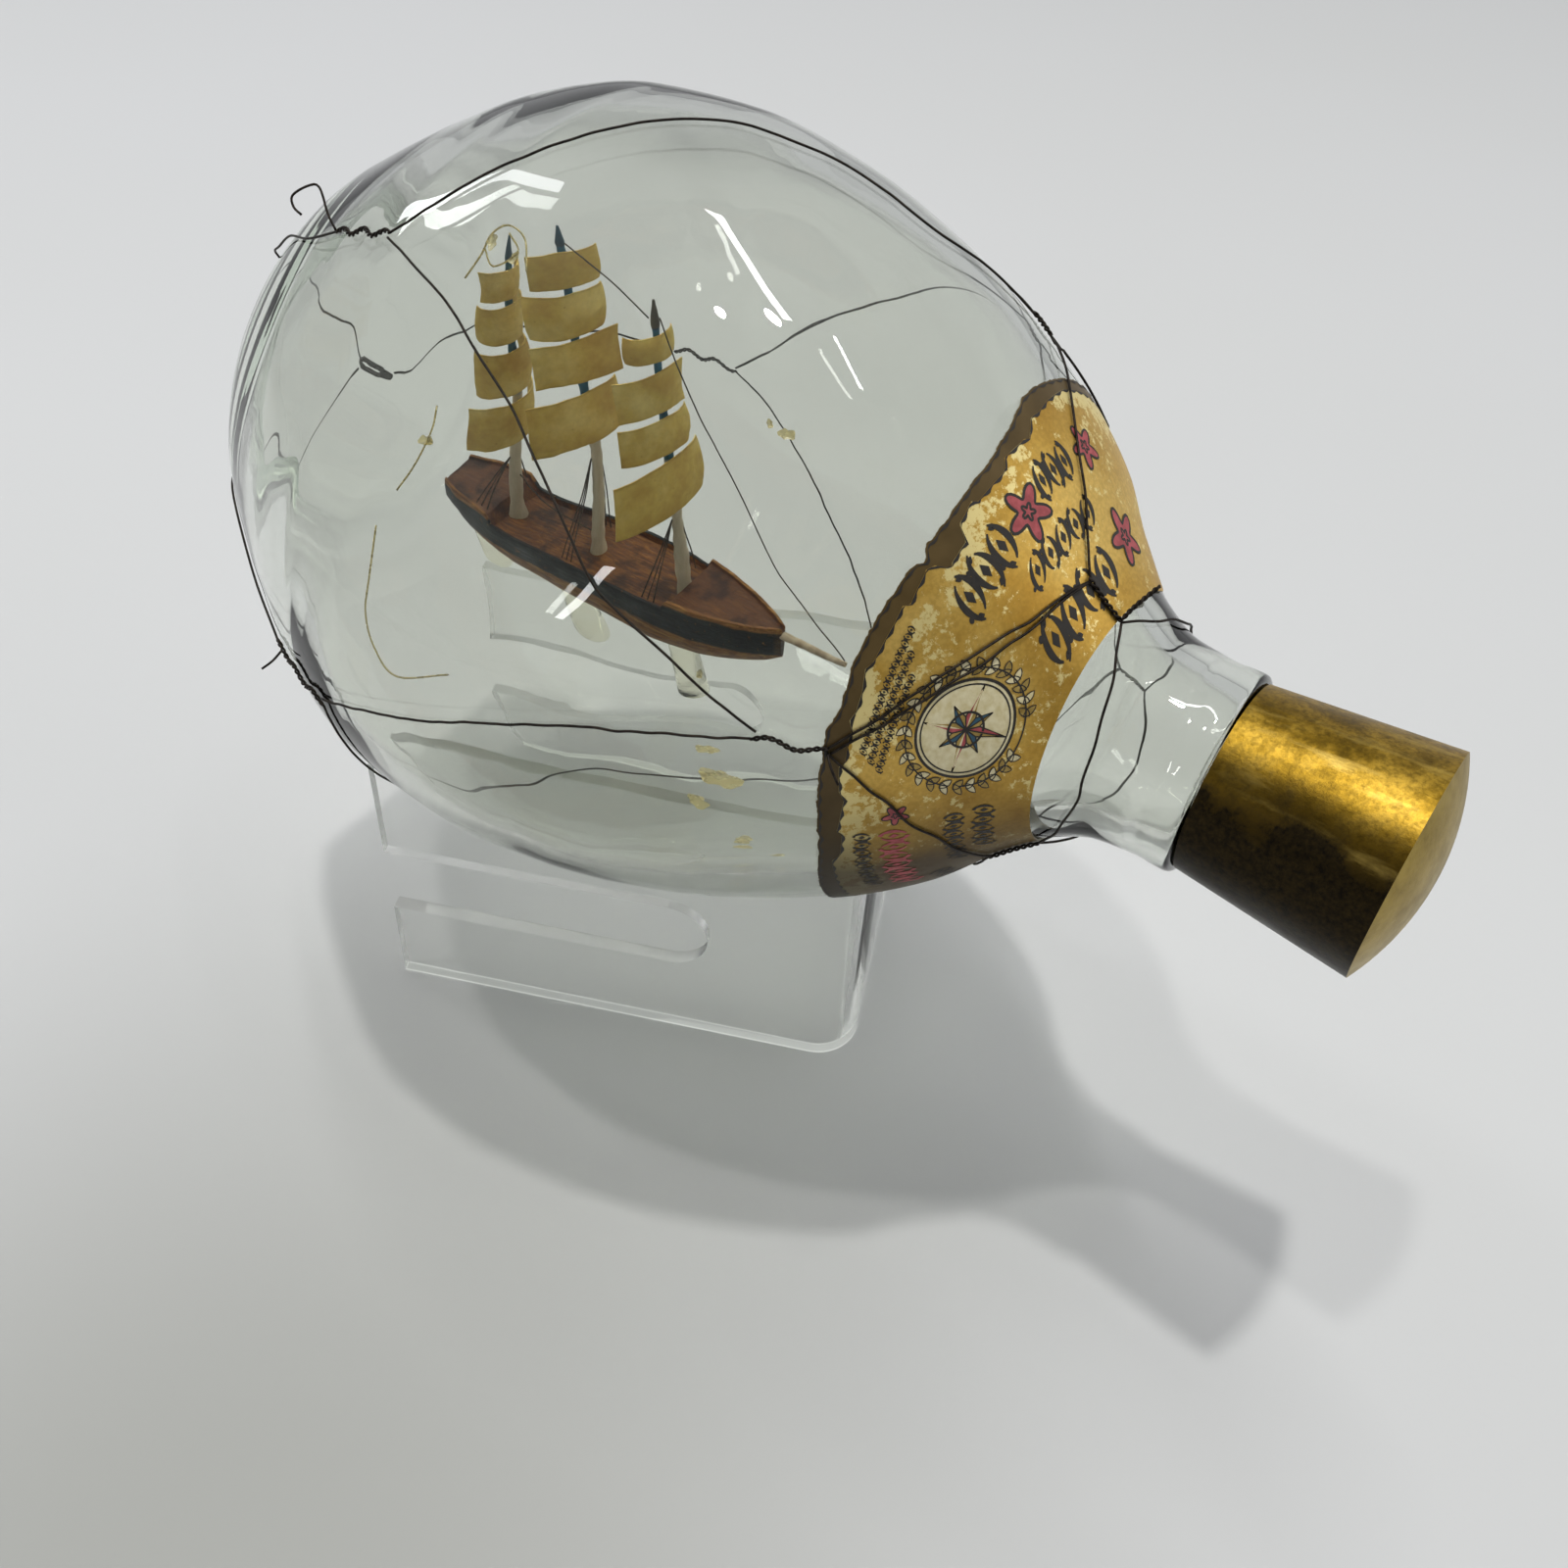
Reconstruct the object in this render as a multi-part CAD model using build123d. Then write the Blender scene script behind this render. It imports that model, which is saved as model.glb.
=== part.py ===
"""Ship in a bottle on a clear stand.

Millimetres.  Everything is laid out from the bottle: x runs along its axis
from the base plane towards the cap, z is up, y = z = 0 is the axis.  The last
step moves all pieces so that the origin is the middle of the underside.
Angles round the bottle are measured from +y towards +z.
"""
import math
import os

from build123d import *

os.makedirs("parts", exist_ok=True)

# ---- frame ---------------------------------------------------------------
CENTRE = (105.1, -2.5)         # middle of the whole object in x and y
AXIS_Z = 114.7                 # height of the bottle's axis above the table

# ---- bottle --------------------------------------------------------------
OUTER = [(0, 31), (4, 34.5), (10, 39.5), (19, 45), (30, 51), (44, 57.5),
         (59, 61.5), (76, 62.5), (93, 60.5), (110, 56), (124, 50), (136, 43),
         (146, 35), (153, 27), (161, 19.8), (168, 16.6), (176, 15.8)]
INNER = [(8, 25), (10.5, 32), (15, 37.8), (22, 42.6), (33, 48.5), (46, 54.3),
         (60, 58), (76, 59), (92, 57.2), (108, 52.8), (121, 47.2),
         (132.5, 40.4), (142, 32.6), (149, 24.6), (157, 16.8), (165, 13),
         (172, 12)]
RIDGE = 79                     # angle of one of the three rounded corners
LOBE = 0.06                    # how far the corners stand out
DIMPLE = (5.0, 70, 34, 25)     # depth, centre, half length, half width (deg)
BORE_R = 11.0
LIP_X, LIP_R = 178.0, 16.1     # glass collar below the cap
FINISH_R, FINISH_END = 12.2, 202.0
PUNT = (24, 17, 4.0)           # recess under the base: mouth, floor, depth

# ---- cap -----------------------------------------------------------------
CAP_X0, CAP_X1 = 180.2, 208.0
CAP_R0, CAP_R1 = 15.0, 17.7
CAP_DOME = 4.2
CAP_WALL = 0.8
PITCH = 4.0                    # screw thread
THREAD_X, THREAD_LEN = 186.0, 9.0
THREAD_DEPTH, THREAD_W = 0.9, 1.3
SLEEVE_R = 13.4                # bore of the threaded sleeve
LINER_T = 1.6

# ---- label, wire ---------------------------------------------------------
LABEL_X = (136.5, 158.5)
LABEL_ANGLES = (52, 250)
LABEL_GAP, LABEL_T = 0.12, 0.32     # measured straight out from the axis
WIRE_R = 0.32
TIE_R = 0.6
WIRE_LIFT = 0.60               # wire centre above the glass
WIRE_LIFT_LABEL = 0.80         # and above the label

# ---- stand ---------------------------------------------------------------
STAND_X = 68                   # its middle along the bottle
STAND_TURN = 24.5              # turned about the vertical
STAND_L0, STAND_L1 = -46, 53   # open end, closed end
STAND_V0, STAND_V1 = -26.6, 41.0   # outer faces of the front and back walls
STAND_T = 3.0
STAND_BEND = 9.0
STAND_H = 62.0
SLOT_Z, SLOT_R, SLOT_END = 29.2, 8.3, 13.0

# ---- ship (own frame: u from the stern, v to port, w up from the keel) -----
SHIP_AT = (15.0, 10.6, -37.2)
SHIP_ROLL = 5.5
HULL = [(0, 4.6, 9.0), (7, 6.3, 5.4), (17, 7.2, 1.9), (32, 7.6, 0.7),
        (50, 7.5, 0.4), (62, 6.5, 1.5), (72, 4.4, 3.9), (78, 2.4, 6.2),
        (81.5, 0.6, 8.8)]
HULL_TOP, DECK_W, RAIL_W = 16.0, 13.0, 14.0
WAIST = (14.5, 58)
MASTS = {                      # foot u, top u, top w, length of the pointed tip
    "mizzen": (15.9, 24.4, 75.0, 5.8),
    "main": (37.5, 35.7, 79.5, 3.6),
    "fore": (57.3, 54.4, 72.1, 4.8),
}
MAST_R = (1.3, 0.55)
SAIL_T = 0.3
SAIL_NAMES = ("royal", "topgallant", "topsail", "course")
# bottom w, top w, starboard corner (du, dv), port corner (du, dv)
SAILS = {
    "mizzen": [(61.9, 68.4, (-3.4, -4.4), (-2.6, 4.0)),
               (52.9, 60.6, (-4.9, -5.0), (-3.4, 4.8)),
               (41.6, 51.0, (-4.9, -5.9), (-3.8, 5.6)),
               (30.0, 39.8, (-5.4, -7.1), (-4.0, 6.8))],
    "main": [(68.9, 75.4, (-2.7, -5.2), (2.2, 5.0)),
             (59.8, 67.8, (-4.2, -6.1), (2.0, 5.4)),
             (50.6, 59.2, (-3.6, -7.4), (2.8, 7.2)),
             (38.2, 48.4, (-3.0, -11.0), (1.2, 7.4))],
    "fore": [(61.9, 66.6, (-3.6, -4.6), (0.8, 3.6)),
             (52.4, 60.2, (-3.4, -8.5), (0.9, 4.6)),
             (43.6, 51.0, (-3.2, -9.4), (0.9, 5.6)),
             (31.6, 42.4, (-1.6, -13.2), (0.4, 8.0))],
}
BOWSPRIT = ((74.0, 14.0), (95.5, 14.6), 0.8)
THREAD_R = 0.16
GLUE = [(6.5, 3.0), (30, 3.4), (56, 3.2)]   # u of each glue post, radius


def export(node, *solids):
    place = Location((-CENTRE[0], -CENTRE[1], AXIS_Z))
    moved = [place * s for s in solids]
    export_step(moved[0] if len(moved) == 1 else Compound(children=moved),
                f"parts/{node}.step")


def rad(deg):
    return math.radians(deg)


# ---- bottle surface --------------------------------------------------------
def fade(x):
    return max(0.0, math.sin(math.pi * min(1.0, max(0.0, (x + 25) / 180))))


def dimple(x, angle):
    depth, centre, half_l, half_w = DIMPLE
    off = (angle - RIDGE) % 120 - 60
    return (depth * math.exp(-((x - centre) / half_l) ** 2)
            * math.exp(-(off / half_w) ** 2))


def shaped(x, r, angle, lift=0.0):
    lobe = LOBE * fade(x) * math.cos(3 * rad(angle - RIDGE))
    return r * (1 + lobe) - dimple(x, angle) + lift


def profile(table, x):
    """Smooth curve through the table (monotone cubic)."""
    xs = [p[0] for p in table]
    rs = [p[1] for p in table]
    d = [(rs[i + 1] - rs[i]) / (xs[i + 1] - xs[i]) for i in range(len(xs) - 1)]
    m = [d[0]] + [0 if a * b <= 0 else 2 * a * b / (a + b)
                  for a, b in zip(d, d[1:])] + [d[-1]]
    i = max(0, min(len(d) - 1, sum(1 for q in xs if q <= x) - 1))
    h = xs[i + 1] - xs[i]
    t = (x - xs[i]) / h
    return (rs[i] * (2 * t ** 3 - 3 * t ** 2 + 1) + m[i] * h * (t ** 3 - 2 * t ** 2 + t)
            + rs[i + 1] * (3 * t ** 2 - 2 * t ** 3) + m[i + 1] * h * (t ** 3 - t ** 2))


def on_glass(x, angle, lift=0.0):
    """Point above the outer glass, lifted along the surface normal."""
    x0 = min(max(x, 0.0), 176.0)
    r = shaped(x0, profile(OUTER, x0), angle)
    slope = (profile(OUTER, min(x0 + 1, 176)) - profile(OUTER, max(x0 - 1, 0))) / 2
    n = math.hypot(1, slope)
    rr = r + lift / n
    return Vector(x - lift * slope / n, rr * math.cos(rad(angle)),
                  rr * math.sin(rad(angle)))


def ring_face(x, r, lift=0.0):
    pts = [Vector(x, q * math.cos(rad(a)), q * math.sin(rad(a)))
           for a in range(0, 360, 12) for q in (shaped(x, r, a, lift),)]
    return make_face(Spline(pts, periodic=True))


def lofted(table):
    return loft([ring_face(x, r) for x, r in table])


def turned(points):
    """Solid of revolution about the bottle's axis from (x, r) points."""
    wire = Polyline([(x, 0, r) for x, r in points], close=True)
    return revolve(make_face(wire), Axis.X, 360)


def helix_ridge(x0, length, r_root, r_crest, width):
    """Screw-thread ridge between two radii, tapering outwards or inwards."""
    path = Helix(PITCH, length, (r_root + r_crest) / 2, center=(0, 0, 0),
                 direction=(0, 0, 1))
    start = path @ 0
    lean = 0.35 * (1 if r_crest > r_root else -1)
    a, b = r_root - start.X, r_crest - start.X
    section = Plane(origin=start, x_dir=(1, 0, 0), z_dir=path % 0) * make_face(
        Polyline([(a, -width / 2), (b, -width / 2 + abs(lean)),
                  (b, width / 2 - abs(lean)), (a, width / 2)], close=True))
    ridge = sweep(section, path=path, is_frenet=True)
    return Pos(x0, 0, 0) * Rot(0, 90, 0) * ridge


outer = lofted(OUTER)
cavity = lofted(INNER)
neck = turned([(173, 0), (173, 15.0), (176.5, LIP_R), (LIP_X + 1.4, LIP_R),
               (LIP_X + 1.9, LIP_R - 0.5), (LIP_X + 1.9, FINISH_R),
               (FINISH_END - 0.6, FINISH_R), (FINISH_END, FINISH_R - 0.6),
               (FINISH_END, 0)])
bore = turned([(169, 0), (169, BORE_R + 0.4), (176, BORE_R), (FINISH_END + 1, BORE_R),
               (FINISH_END + 1, 0)])
punt = loft([ring_face(-0.01, PUNT[0]), ring_face(PUNT[2], PUNT[1])])
thread = helix_ridge(THREAD_X, THREAD_LEN, FINISH_R - 0.15,
                     FINISH_R + THREAD_DEPTH, THREAD_W)
bottle = outer + neck - cavity - bore - punt + thread
export("glass_bottle", bottle)

# ---- cap -------------------------------------------------------------------
def taper(x):
    return CAP_R0 + (CAP_R1 - CAP_R0) * (x - CAP_X0) / (CAP_X1 - CAP_X0)


seat = FINISH_END + LINER_T
crown = CAP_X1 - CAP_WALL
dome_r = (CAP_R1 ** 2 + CAP_DOME ** 2) / (2 * CAP_DOME)
half = math.asin(CAP_R1 / dome_r) / 2
dome_mid = (CAP_X1 + CAP_DOME - dome_r * (1 - math.cos(half)), 0, dome_r * math.sin(half))
shell = [(CAP_X1, 0, CAP_R1), (CAP_X0, 0, CAP_R0), (CAP_X0, 0, SLEEVE_R + 1),
         (CAP_X0 + 0.8, 0, SLEEVE_R + 1), (CAP_X0 + 0.8, 0, taper(CAP_X0 + 0.8) - CAP_WALL),
         (crown, 0, taper(crown) - CAP_WALL), (crown, 0, 0), (CAP_X1 + CAP_DOME, 0, 0)]
cap_face = make_face([Polyline(shell),
                      ThreePointArc(shell[-1], dome_mid, shell[0])])
export("brass_cap", revolve(cap_face, Axis.X, 360))

sleeve = turned([(CAP_X0 + 1.0, SLEEVE_R), (CAP_X0 + 1.0, taper(CAP_X0 + 1.0) - CAP_WALL),
                 (crown, taper(crown) - CAP_WALL), (crown, 0), (seat, 0),
                 (seat, SLEEVE_R)])
inside_ridge = helix_ridge(THREAD_X + PITCH / 2 - 0.2, THREAD_LEN - 1.5, SLEEVE_R + 0.15,
                           SLEEVE_R - THREAD_DEPTH, THREAD_W)
export("cap_thread_sleeve", sleeve + inside_ridge)
export("cap_liner", Pos((FINISH_END + seat) / 2, 0, 0) * Rot(0, 90, 0)
       * Cylinder(SLEEVE_R - 0.3, LINER_T))

# ---- label -----------------------------------------------------------------
def raised(lift):
    return loft([ring_face(x, r, lift) for x, r in OUTER])


lo, hi = LABEL_ANGLES
sector = [(0, 0)] + [(90 * math.cos(rad(lo + (hi - lo) * i / 8)),
                      90 * math.sin(rad(lo + (hi - lo) * i / 8))) for i in range(9)]
wedge = make_face(Polyline([Vector(LABEL_X[0], y, z) for y, z in sector], close=True))
wedge = extrude(wedge, LABEL_X[1] - LABEL_X[0], dir=(1, 0, 0))
export("label", (raised(LABEL_GAP + LABEL_T) & wedge) - raised(LABEL_GAP))

# ---- wire net ----------------------------------------------------------------
def lift_at(x, angle):
    return WIRE_LIFT_LABEL if x > 130 and 40 < angle % 360 < 262 else WIRE_LIFT


def strand(stops, cut=1.0):
    """Wire over the glass through (x, angle) stops, ends trimmed by cut mm."""
    fine = []
    for (x0, a0), (x1, a1) in zip(stops, stops[1:]):
        n = max(2, int(max(abs(x1 - x0) / 7, abs(a1 - a0) / 10)))
        fine += [(x0 + (x1 - x0) * i / n, a0 + (a1 - a0) * i / n) for i in range(n)]
    fine.append(stops[-1])
    pts = [on_glass(x, a, lift_at(x, a)) for x, a in fine]
    pts[0] = pts[0] + (pts[1] - pts[0]).normalized() * cut
    pts[-1] = pts[-1] + (pts[-2] - pts[-1]).normalized() * cut
    path = Spline(pts)
    return sweep(Plane(origin=path @ 0, z_dir=path % 0) * Circle(WIRE_R), path=path)


def twist(x0, x1, angle):
    """Short twisted pair, drawn as a rod, lying along the bottle."""
    path = Spline([on_glass(x, angle, lift_at(x, angle) + 0.35)
                   for x in (x0, x0 + (x1 - x0) / 3, x0 + (x1 - x0) * 2 / 3, x1)])
    return sweep(Plane(origin=path @ 0, z_dir=path % 0) * Circle(TIE_R), path=path)


NECK_TIES = (100, 226, 344)        # angles of the three neck twists
BELLY_TIES = (57, 167, 290)
HEEL_TIES = (119, 190, 355)
upper, lower, ring, base, ties = [], [], [], [], []
for i in range(3):
    n0, n1 = NECK_TIES[i], NECK_TIES[(i + 1) % 3]
    n1 += 360 if n1 < n0 else 0
    ring.append(strand([(160.7, n0), (164.8, n0 + 0.35 * (n1 - n0)),
                        (164.8, n0 + 0.65 * (n1 - n0)), (160.7, n1)]))
    ties.append(twist(154.5, 159.8, n0))
for b, (x0, x1) in zip(BELLY_TIES, ((123.5, 128), (128, 137), (126, 131))):
    ties.append(twist(x0, x1, b))
upper = [
    strand([(153.6, 100), (145, 82), (132, 60)]),
    strand([(153.6, 100), (147, 148), (138.2, 166)]),
    strand([(153.6, 226), (148, 190), (138.2, 168)]),
    strand([(153.6, 226), (146, 262), (132.2, 288)]),
    strand([(153.6, 344), (146, 318), (132.2, 292)]),
    strand([(153.6, 344), (145, 385), (132, 414)]),
]
lower = [
    strand([(122.5, 57), (104, 77), (84, 90), (70, 97), (55, 108), (44.5, 118)]),
    strand([(127, 166), (102, 152), (80, 137), (60, 127), (44.5, 120)]),
    strand([(127, 168), (102, 174), (75, 183), (58.6, 189)]),
    strand([(125, 289), (112, 281), (74, 246), (60.5, 212), (58.6, 191)]),
    strand([(125, 291), (104, 310), (76, 330), (51, 354)]),
    strand([(122.5, 56), (100, 38), (74, 18), (51, -4)]),
]
for a, (x0, x1) in zip(HEEL_TIES, ((28, 43.5), (42, 57.6), (36, 50))):
    ties.append(twist(x0, x1, a))
    rim = on_glass(0, a, 0)
    pts = [on_glass(x0 - 1.2, a, WIRE_LIFT), on_glass((x0 + 9) / 2, a, WIRE_LIFT),
           on_glass(9, a, WIRE_LIFT + 0.2), on_glass(3.0, a, WIRE_LIFT + 0.4)]
    pts += [Vector(x, rim.Y * k, rim.Z * k)
            for x, k in ((-0.55, 1.03), (-0.85, 0.96), (-0.85, 0.75), (-0.85, 0.5),
                         (-0.85, 0.25), (-0.85, 0.07))]
    path = Spline(pts)
    base.append(sweep(Plane(origin=path @ 0, z_dir=path % 0) * Circle(WIRE_R), path=path))
base.append(Pos(-0.85, 0, 0) * Sphere(1.2))
export("wire_neck_ring", *ring)
export("wire_shoulder_strands", *upper)
export("wire_belly_strands", *lower)
export("wire_base_star", *base[:3])
export("wire_base_knot", base[3])
export("wire_ties", *ties)

# ---- stand -------------------------------------------------------------------
length, width = STAND_L1 - STAND_L0 + 20, STAND_V1 - STAND_V0
centre = Pos(STAND_L1 - length / 2, (STAND_V0 + STAND_V1) / 2, 0)
loop = RectangleRounded(length, width, STAND_BEND)
hollow = RectangleRounded(length - 2 * STAND_T, width - 2 * STAND_T, STAND_BEND - STAND_T)
stand = centre * extrude(loop - hollow, STAND_H)
stand -= Pos(STAND_L0 - 50, 0, STAND_H / 2) * Box(100, 120, 2 * STAND_H)
slot = Pos((STAND_L0 + SLOT_END) / 2 - 10, 0, SLOT_Z) * Box(SLOT_END - STAND_L0 + 20, 100, 2 * SLOT_R)
slot += Pos(SLOT_END, 0, SLOT_Z) * Rot(90, 0, 0) * Cylinder(SLOT_R, 100)
stand -= slot
stand = Rot(0, 0, STAND_TURN) * stand
export("display_stand", Pos(STAND_X, 0, -AXIS_Z) * stand)

# ---- ship --------------------------------------------------------------------
SHIP = Pos(*SHIP_AT) * Rot(SHIP_ROLL, 0, 0)


def hull_section(u, beam, keel):
    side = [Vector(u, beam, HULL_TOP), Vector(u, beam * 0.99, HULL_TOP - 4.0),
            Vector(u, beam * 0.86, keel + (HULL_TOP - keel) * 0.32),
            Vector(u, beam * 0.45, keel + (HULL_TOP - keel) * 0.07),
            Vector(u, 0, keel)]
    pts = side + [Vector(p.X, -p.Y, p.Z) for p in side[-2::-1]]
    return make_face([Spline(pts), Line(pts[-1], pts[0])])


hull = loft([hull_section(*s) for s in HULL])
waist_u = (WAIST[0] + WAIST[1]) / 2
waist_l = WAIST[1] - WAIST[0]
hull -= Pos(waist_u, 0, RAIL_W + 5) * Box(waist_l, 30, 10)
hull -= Pos(waist_u, 0, DECK_W + 5) * Box(waist_l - 1.2, 12.2, 10)


def mast_u(name, w):
    foot, top, top_w, _ = MASTS[name]
    return foot + (top - foot) * (w - DECK_W) / (top_w - DECK_W)


def mast_radius(name, w):
    top_w = MASTS[name][2]
    return MAST_R[0] + (MAST_R[1] - MAST_R[0]) * (w - DECK_W) / (top_w - DECK_W)


masts = {}
for name, (foot, top, top_w, tip_l) in MASTS.items():
    a = Vector(foot, 0, DECK_W)
    b = Vector(top, 0, top_w)
    d = (b - a).normalized()
    neck_at = b - d * tip_l
    r0, r1 = MAST_R[0], mast_radius(name, top_w - tip_l)
    sink = a - d * 3
    pole = Solid.make_cone(r0, r1, (neck_at - sink).length, Plane(origin=sink, z_dir=d))
    tip = Solid.make_cone(r1 + 0.35, 0.25, tip_l, Plane(origin=neck_at, z_dir=d))
    masts[name] = pole + tip
    socket = Solid.make_cone(r0, r1, (neck_at - sink).length, Plane(origin=sink, z_dir=d))
    hull -= socket
    export(f"{name}_mast", SHIP * masts[name])
bow_a, bow_b, bow_r = BOWSPRIT
sa, sb = Vector(bow_a[0], 0, bow_a[1]), Vector(bow_b[0], 0, bow_b[1])
spar = Solid.make_cone(bow_r, bow_r * 0.6, (sb - sa).length, Plane(origin=sa, z_dir=sb - sa))
hull -= spar
export("bowsprit", SHIP * spar)
export("hull", SHIP * hull)


def sail_face(mast, w, starboard, port):
    u0 = mast_u(mast, w)
    front = mast_radius(mast, w) + 0.12
    ends = (Vector(u0 + starboard[0], starboard[1], w), Vector(u0 + front, 0, w),
            Vector(u0 + port[0], port[1], w))
    inner = ThreePointArc(*ends)
    centre = inner.arc_center
    grow = 1 + SAIL_T / inner.radius
    outside = [centre + (p - centre) * grow for p in reversed(ends)]
    outer_arc = ThreePointArc(*outside)
    return make_face([inner, Line(inner @ 1, outer_arc @ 0), outer_arc,
                      Line(outer_arc @ 1, inner @ 0)])


for mast, rows in SAILS.items():
    for sail, (low, high, stb, prt) in zip(SAIL_NAMES, rows):
        rake = Vector(mast_u(mast, high) - mast_u(mast, low), 0, high - low)
        export(f"{mast}_{sail}", SHIP * extrude(sail_face(mast, low, stb, prt),
                                                rake.length, dir=rake.normalized()))


def thread_run(points):
    vs = [Vector(*p) for p in points]
    path = Spline(vs) if len(vs) > 2 else Line(vs[0], vs[1])
    return sweep(Plane(origin=path @ 0, z_dir=path % 0) * Circle(THREAD_R), path=path)


stays = [
    thread_run([(mast_u("main", 77) + 1.2, 0, 76.8), (mast_u("fore", 72) - 1.3, 0, 68.6)]),
    thread_run([(mast_u("fore", 70) + 1.2, 0, 69.5), (66, 0, 50), (78, 0, 30), (95.0, 0, 15.8)]),
    thread_run([(mast_u("mizzen", 19) + 1.6, 0, 22), (mast_u("main", 18) - 1.6, 0, 17)]),
]
shrouds = []
for mast, top in (("mizzen", 26), ("main", 34), ("fore", 29)):
    u0 = mast_u(mast, top)
    foot = MASTS[mast][0]
    deck = HULL_TOP if mast == "mizzen" else DECK_W
    for side in (-1, 1):
        for back in (2.2, 5.0):
            shrouds.append(thread_run([(u0 - 0.4, side * 1.45, top),
                                       (foot - back, side * 5.5, deck + 0.3)]))
export("stay_threads", *[SHIP * s for s in stays])
export("shroud_threads", *[SHIP * s for s in shrouds])

# ---- glue between keel and glass ---------------------------------------------
posts = []
down = math.atan2(SHIP_AT[2], SHIP_AT[1])
out = Vector(0, math.cos(down), math.sin(down))
start = math.hypot(SHIP_AT[1], SHIP_AT[2]) - 8
for u, r in GLUE:
    pin = Solid.make_cone(r * 0.8, r * 1.25, 40,
                          Plane(origin=Vector(SHIP_AT[0] + u, 0, 0) + out * start, z_dir=out))
    post = (pin & cavity) - SHIP * hull
    posts.append(max(post.solids(), key=lambda s: s.center().dot(out)))
export("glue_posts", *posts)
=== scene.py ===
"""Looks of the ship in a bottle on its clear stand.

Lengths in the tables are millimetres in the bottle's own frame (x from the base
plane along the axis to the cap, z up); row() turns them into the part's own frame
in metres.  Angles round the bottle are degrees from +y towards +z.
"""
import math

import bpy
import bmesh
import numpy as np
from mathutils import Matrix, Vector, noise


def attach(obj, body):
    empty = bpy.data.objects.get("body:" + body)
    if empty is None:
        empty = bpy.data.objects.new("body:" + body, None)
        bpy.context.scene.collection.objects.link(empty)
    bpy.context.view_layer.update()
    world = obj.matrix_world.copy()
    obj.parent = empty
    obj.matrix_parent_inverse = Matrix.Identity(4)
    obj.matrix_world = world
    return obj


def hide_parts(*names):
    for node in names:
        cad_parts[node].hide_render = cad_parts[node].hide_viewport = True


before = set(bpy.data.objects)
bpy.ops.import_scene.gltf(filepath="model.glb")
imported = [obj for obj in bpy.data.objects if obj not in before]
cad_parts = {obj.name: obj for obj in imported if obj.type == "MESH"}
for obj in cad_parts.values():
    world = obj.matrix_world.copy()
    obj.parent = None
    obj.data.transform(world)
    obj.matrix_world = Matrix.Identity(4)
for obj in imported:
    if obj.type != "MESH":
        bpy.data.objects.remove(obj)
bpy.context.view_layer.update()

MM = 0.001
SHIFT = np.array([-105.1, 2.5, 114.7])     # the part's own frame, from the bottle's


def row(points):
    return (np.asarray(points, float) + SHIFT) * MM


# ---- bottle surface ----
OUTER = [(0, 31), (4, 34.5), (10, 39.5), (19, 45), (30, 51), (44, 57.5), (59, 61.5),
         (76, 62.5), (93, 60.5), (110, 56), (124, 50), (136, 43), (146, 35), (153, 27),
         (161, 19.8), (168, 16.6), (176, 15.8)]
INNER = [(8, 25), (10.5, 32), (15, 37.8), (22, 42.6), (33, 48.5), (46, 54.3), (60, 58),
         (76, 59), (92, 57.2), (108, 52.8), (121, 47.2), (132.5, 40.4), (142, 32.6),
         (149, 24.6), (157, 16.8), (165, 13), (172, 12)]
RIDGE = 79                        # angle of one rounded corner
LOBE = 0.06                       # how far the corners stand out
DENT, DENT_X, DENT_LONG, DENT_WIDE = 5, 70, 34, 25     # hollow of each flat side
DENT_FROM_R = 26                  # no dent where the section is smaller
NECK_END = 176
FINISH_R, BORE_R = 12.2, 11.0     # mouth, outside and inside
PITCH, THREAD_X, THREAD_LEN, THREAD_DEPTH = 4.0, 186.0, 9, 0.88


def profile(table, x):
    """Monotone cubic through the table, for an array of x."""
    xs, rs = np.array(table, float).T
    d = np.diff(rs) / np.diff(xs)
    m = np.concatenate([[d[0]], np.where(d[:-1] * d[1:] <= 0, 0,
                        2 * d[:-1] * d[1:] / (d[:-1] + d[1:])), [d[-1]]])
    x = np.asarray(x, float)
    i = np.clip(np.searchsorted(xs, x, side="right") - 1, 0, len(d) - 1)
    h = xs[i + 1] - xs[i]
    t = (x - xs[i]) / h
    return (rs[i] * (2 * t ** 3 - 3 * t ** 2 + 1) + m[i] * h * (t ** 3 - 2 * t ** 2 + t)
            + rs[i + 1] * (3 * t ** 2 - 2 * t ** 3) + m[i + 1] * h * (t ** 3 - t ** 2))


def shaped(x, r, a):
    """Radius r of a round section turned into the bottle's three-sided one."""
    fade = np.maximum(0, np.sin(np.pi * np.clip((x + 25) / 180, 0, 1)))
    off = (a - RIDGE) % 120 - 60
    dent = DENT * np.exp(-((x - DENT_X) / DENT_LONG) ** 2) * np.exp(-(off / DENT_WIDE) ** 2)
    lobes = 1 + LOBE * fade * np.cos(np.radians(3 * (a - RIDGE)))
    return r * lobes - dent * (r > DENT_FROM_R)


def at_angle(x, r, a):
    """Points at x along the axis and r from it, at angle a."""
    return np.stack([x, r * np.cos(np.radians(a)), r * np.sin(np.radians(a))], -1)


def on_glass(x, a, lift=0.0):
    """Points lift mm above the outer glass (bottle frame)."""
    x, a, lift = np.broadcast_arrays(*(np.asarray(v, float) for v in (x, a, lift)))
    x0 = np.clip(x, 0, NECK_END)
    r = shaped(x0, profile(OUTER, x0), a)
    after, before = np.minimum(x0 + 1, NECK_END), np.maximum(x0 - 1, 0)
    slope = (profile(OUTER, after) - profile(OUTER, before)) / 2
    n = np.hypot(1, slope)
    return at_angle(x - lift * slope / n, r + lift / n, a)


# ---- mesh helpers ----
def new_object(name, data):
    obj = bpy.data.objects.new(name, data)
    bpy.context.scene.collection.objects.link(obj)
    return obj


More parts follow.
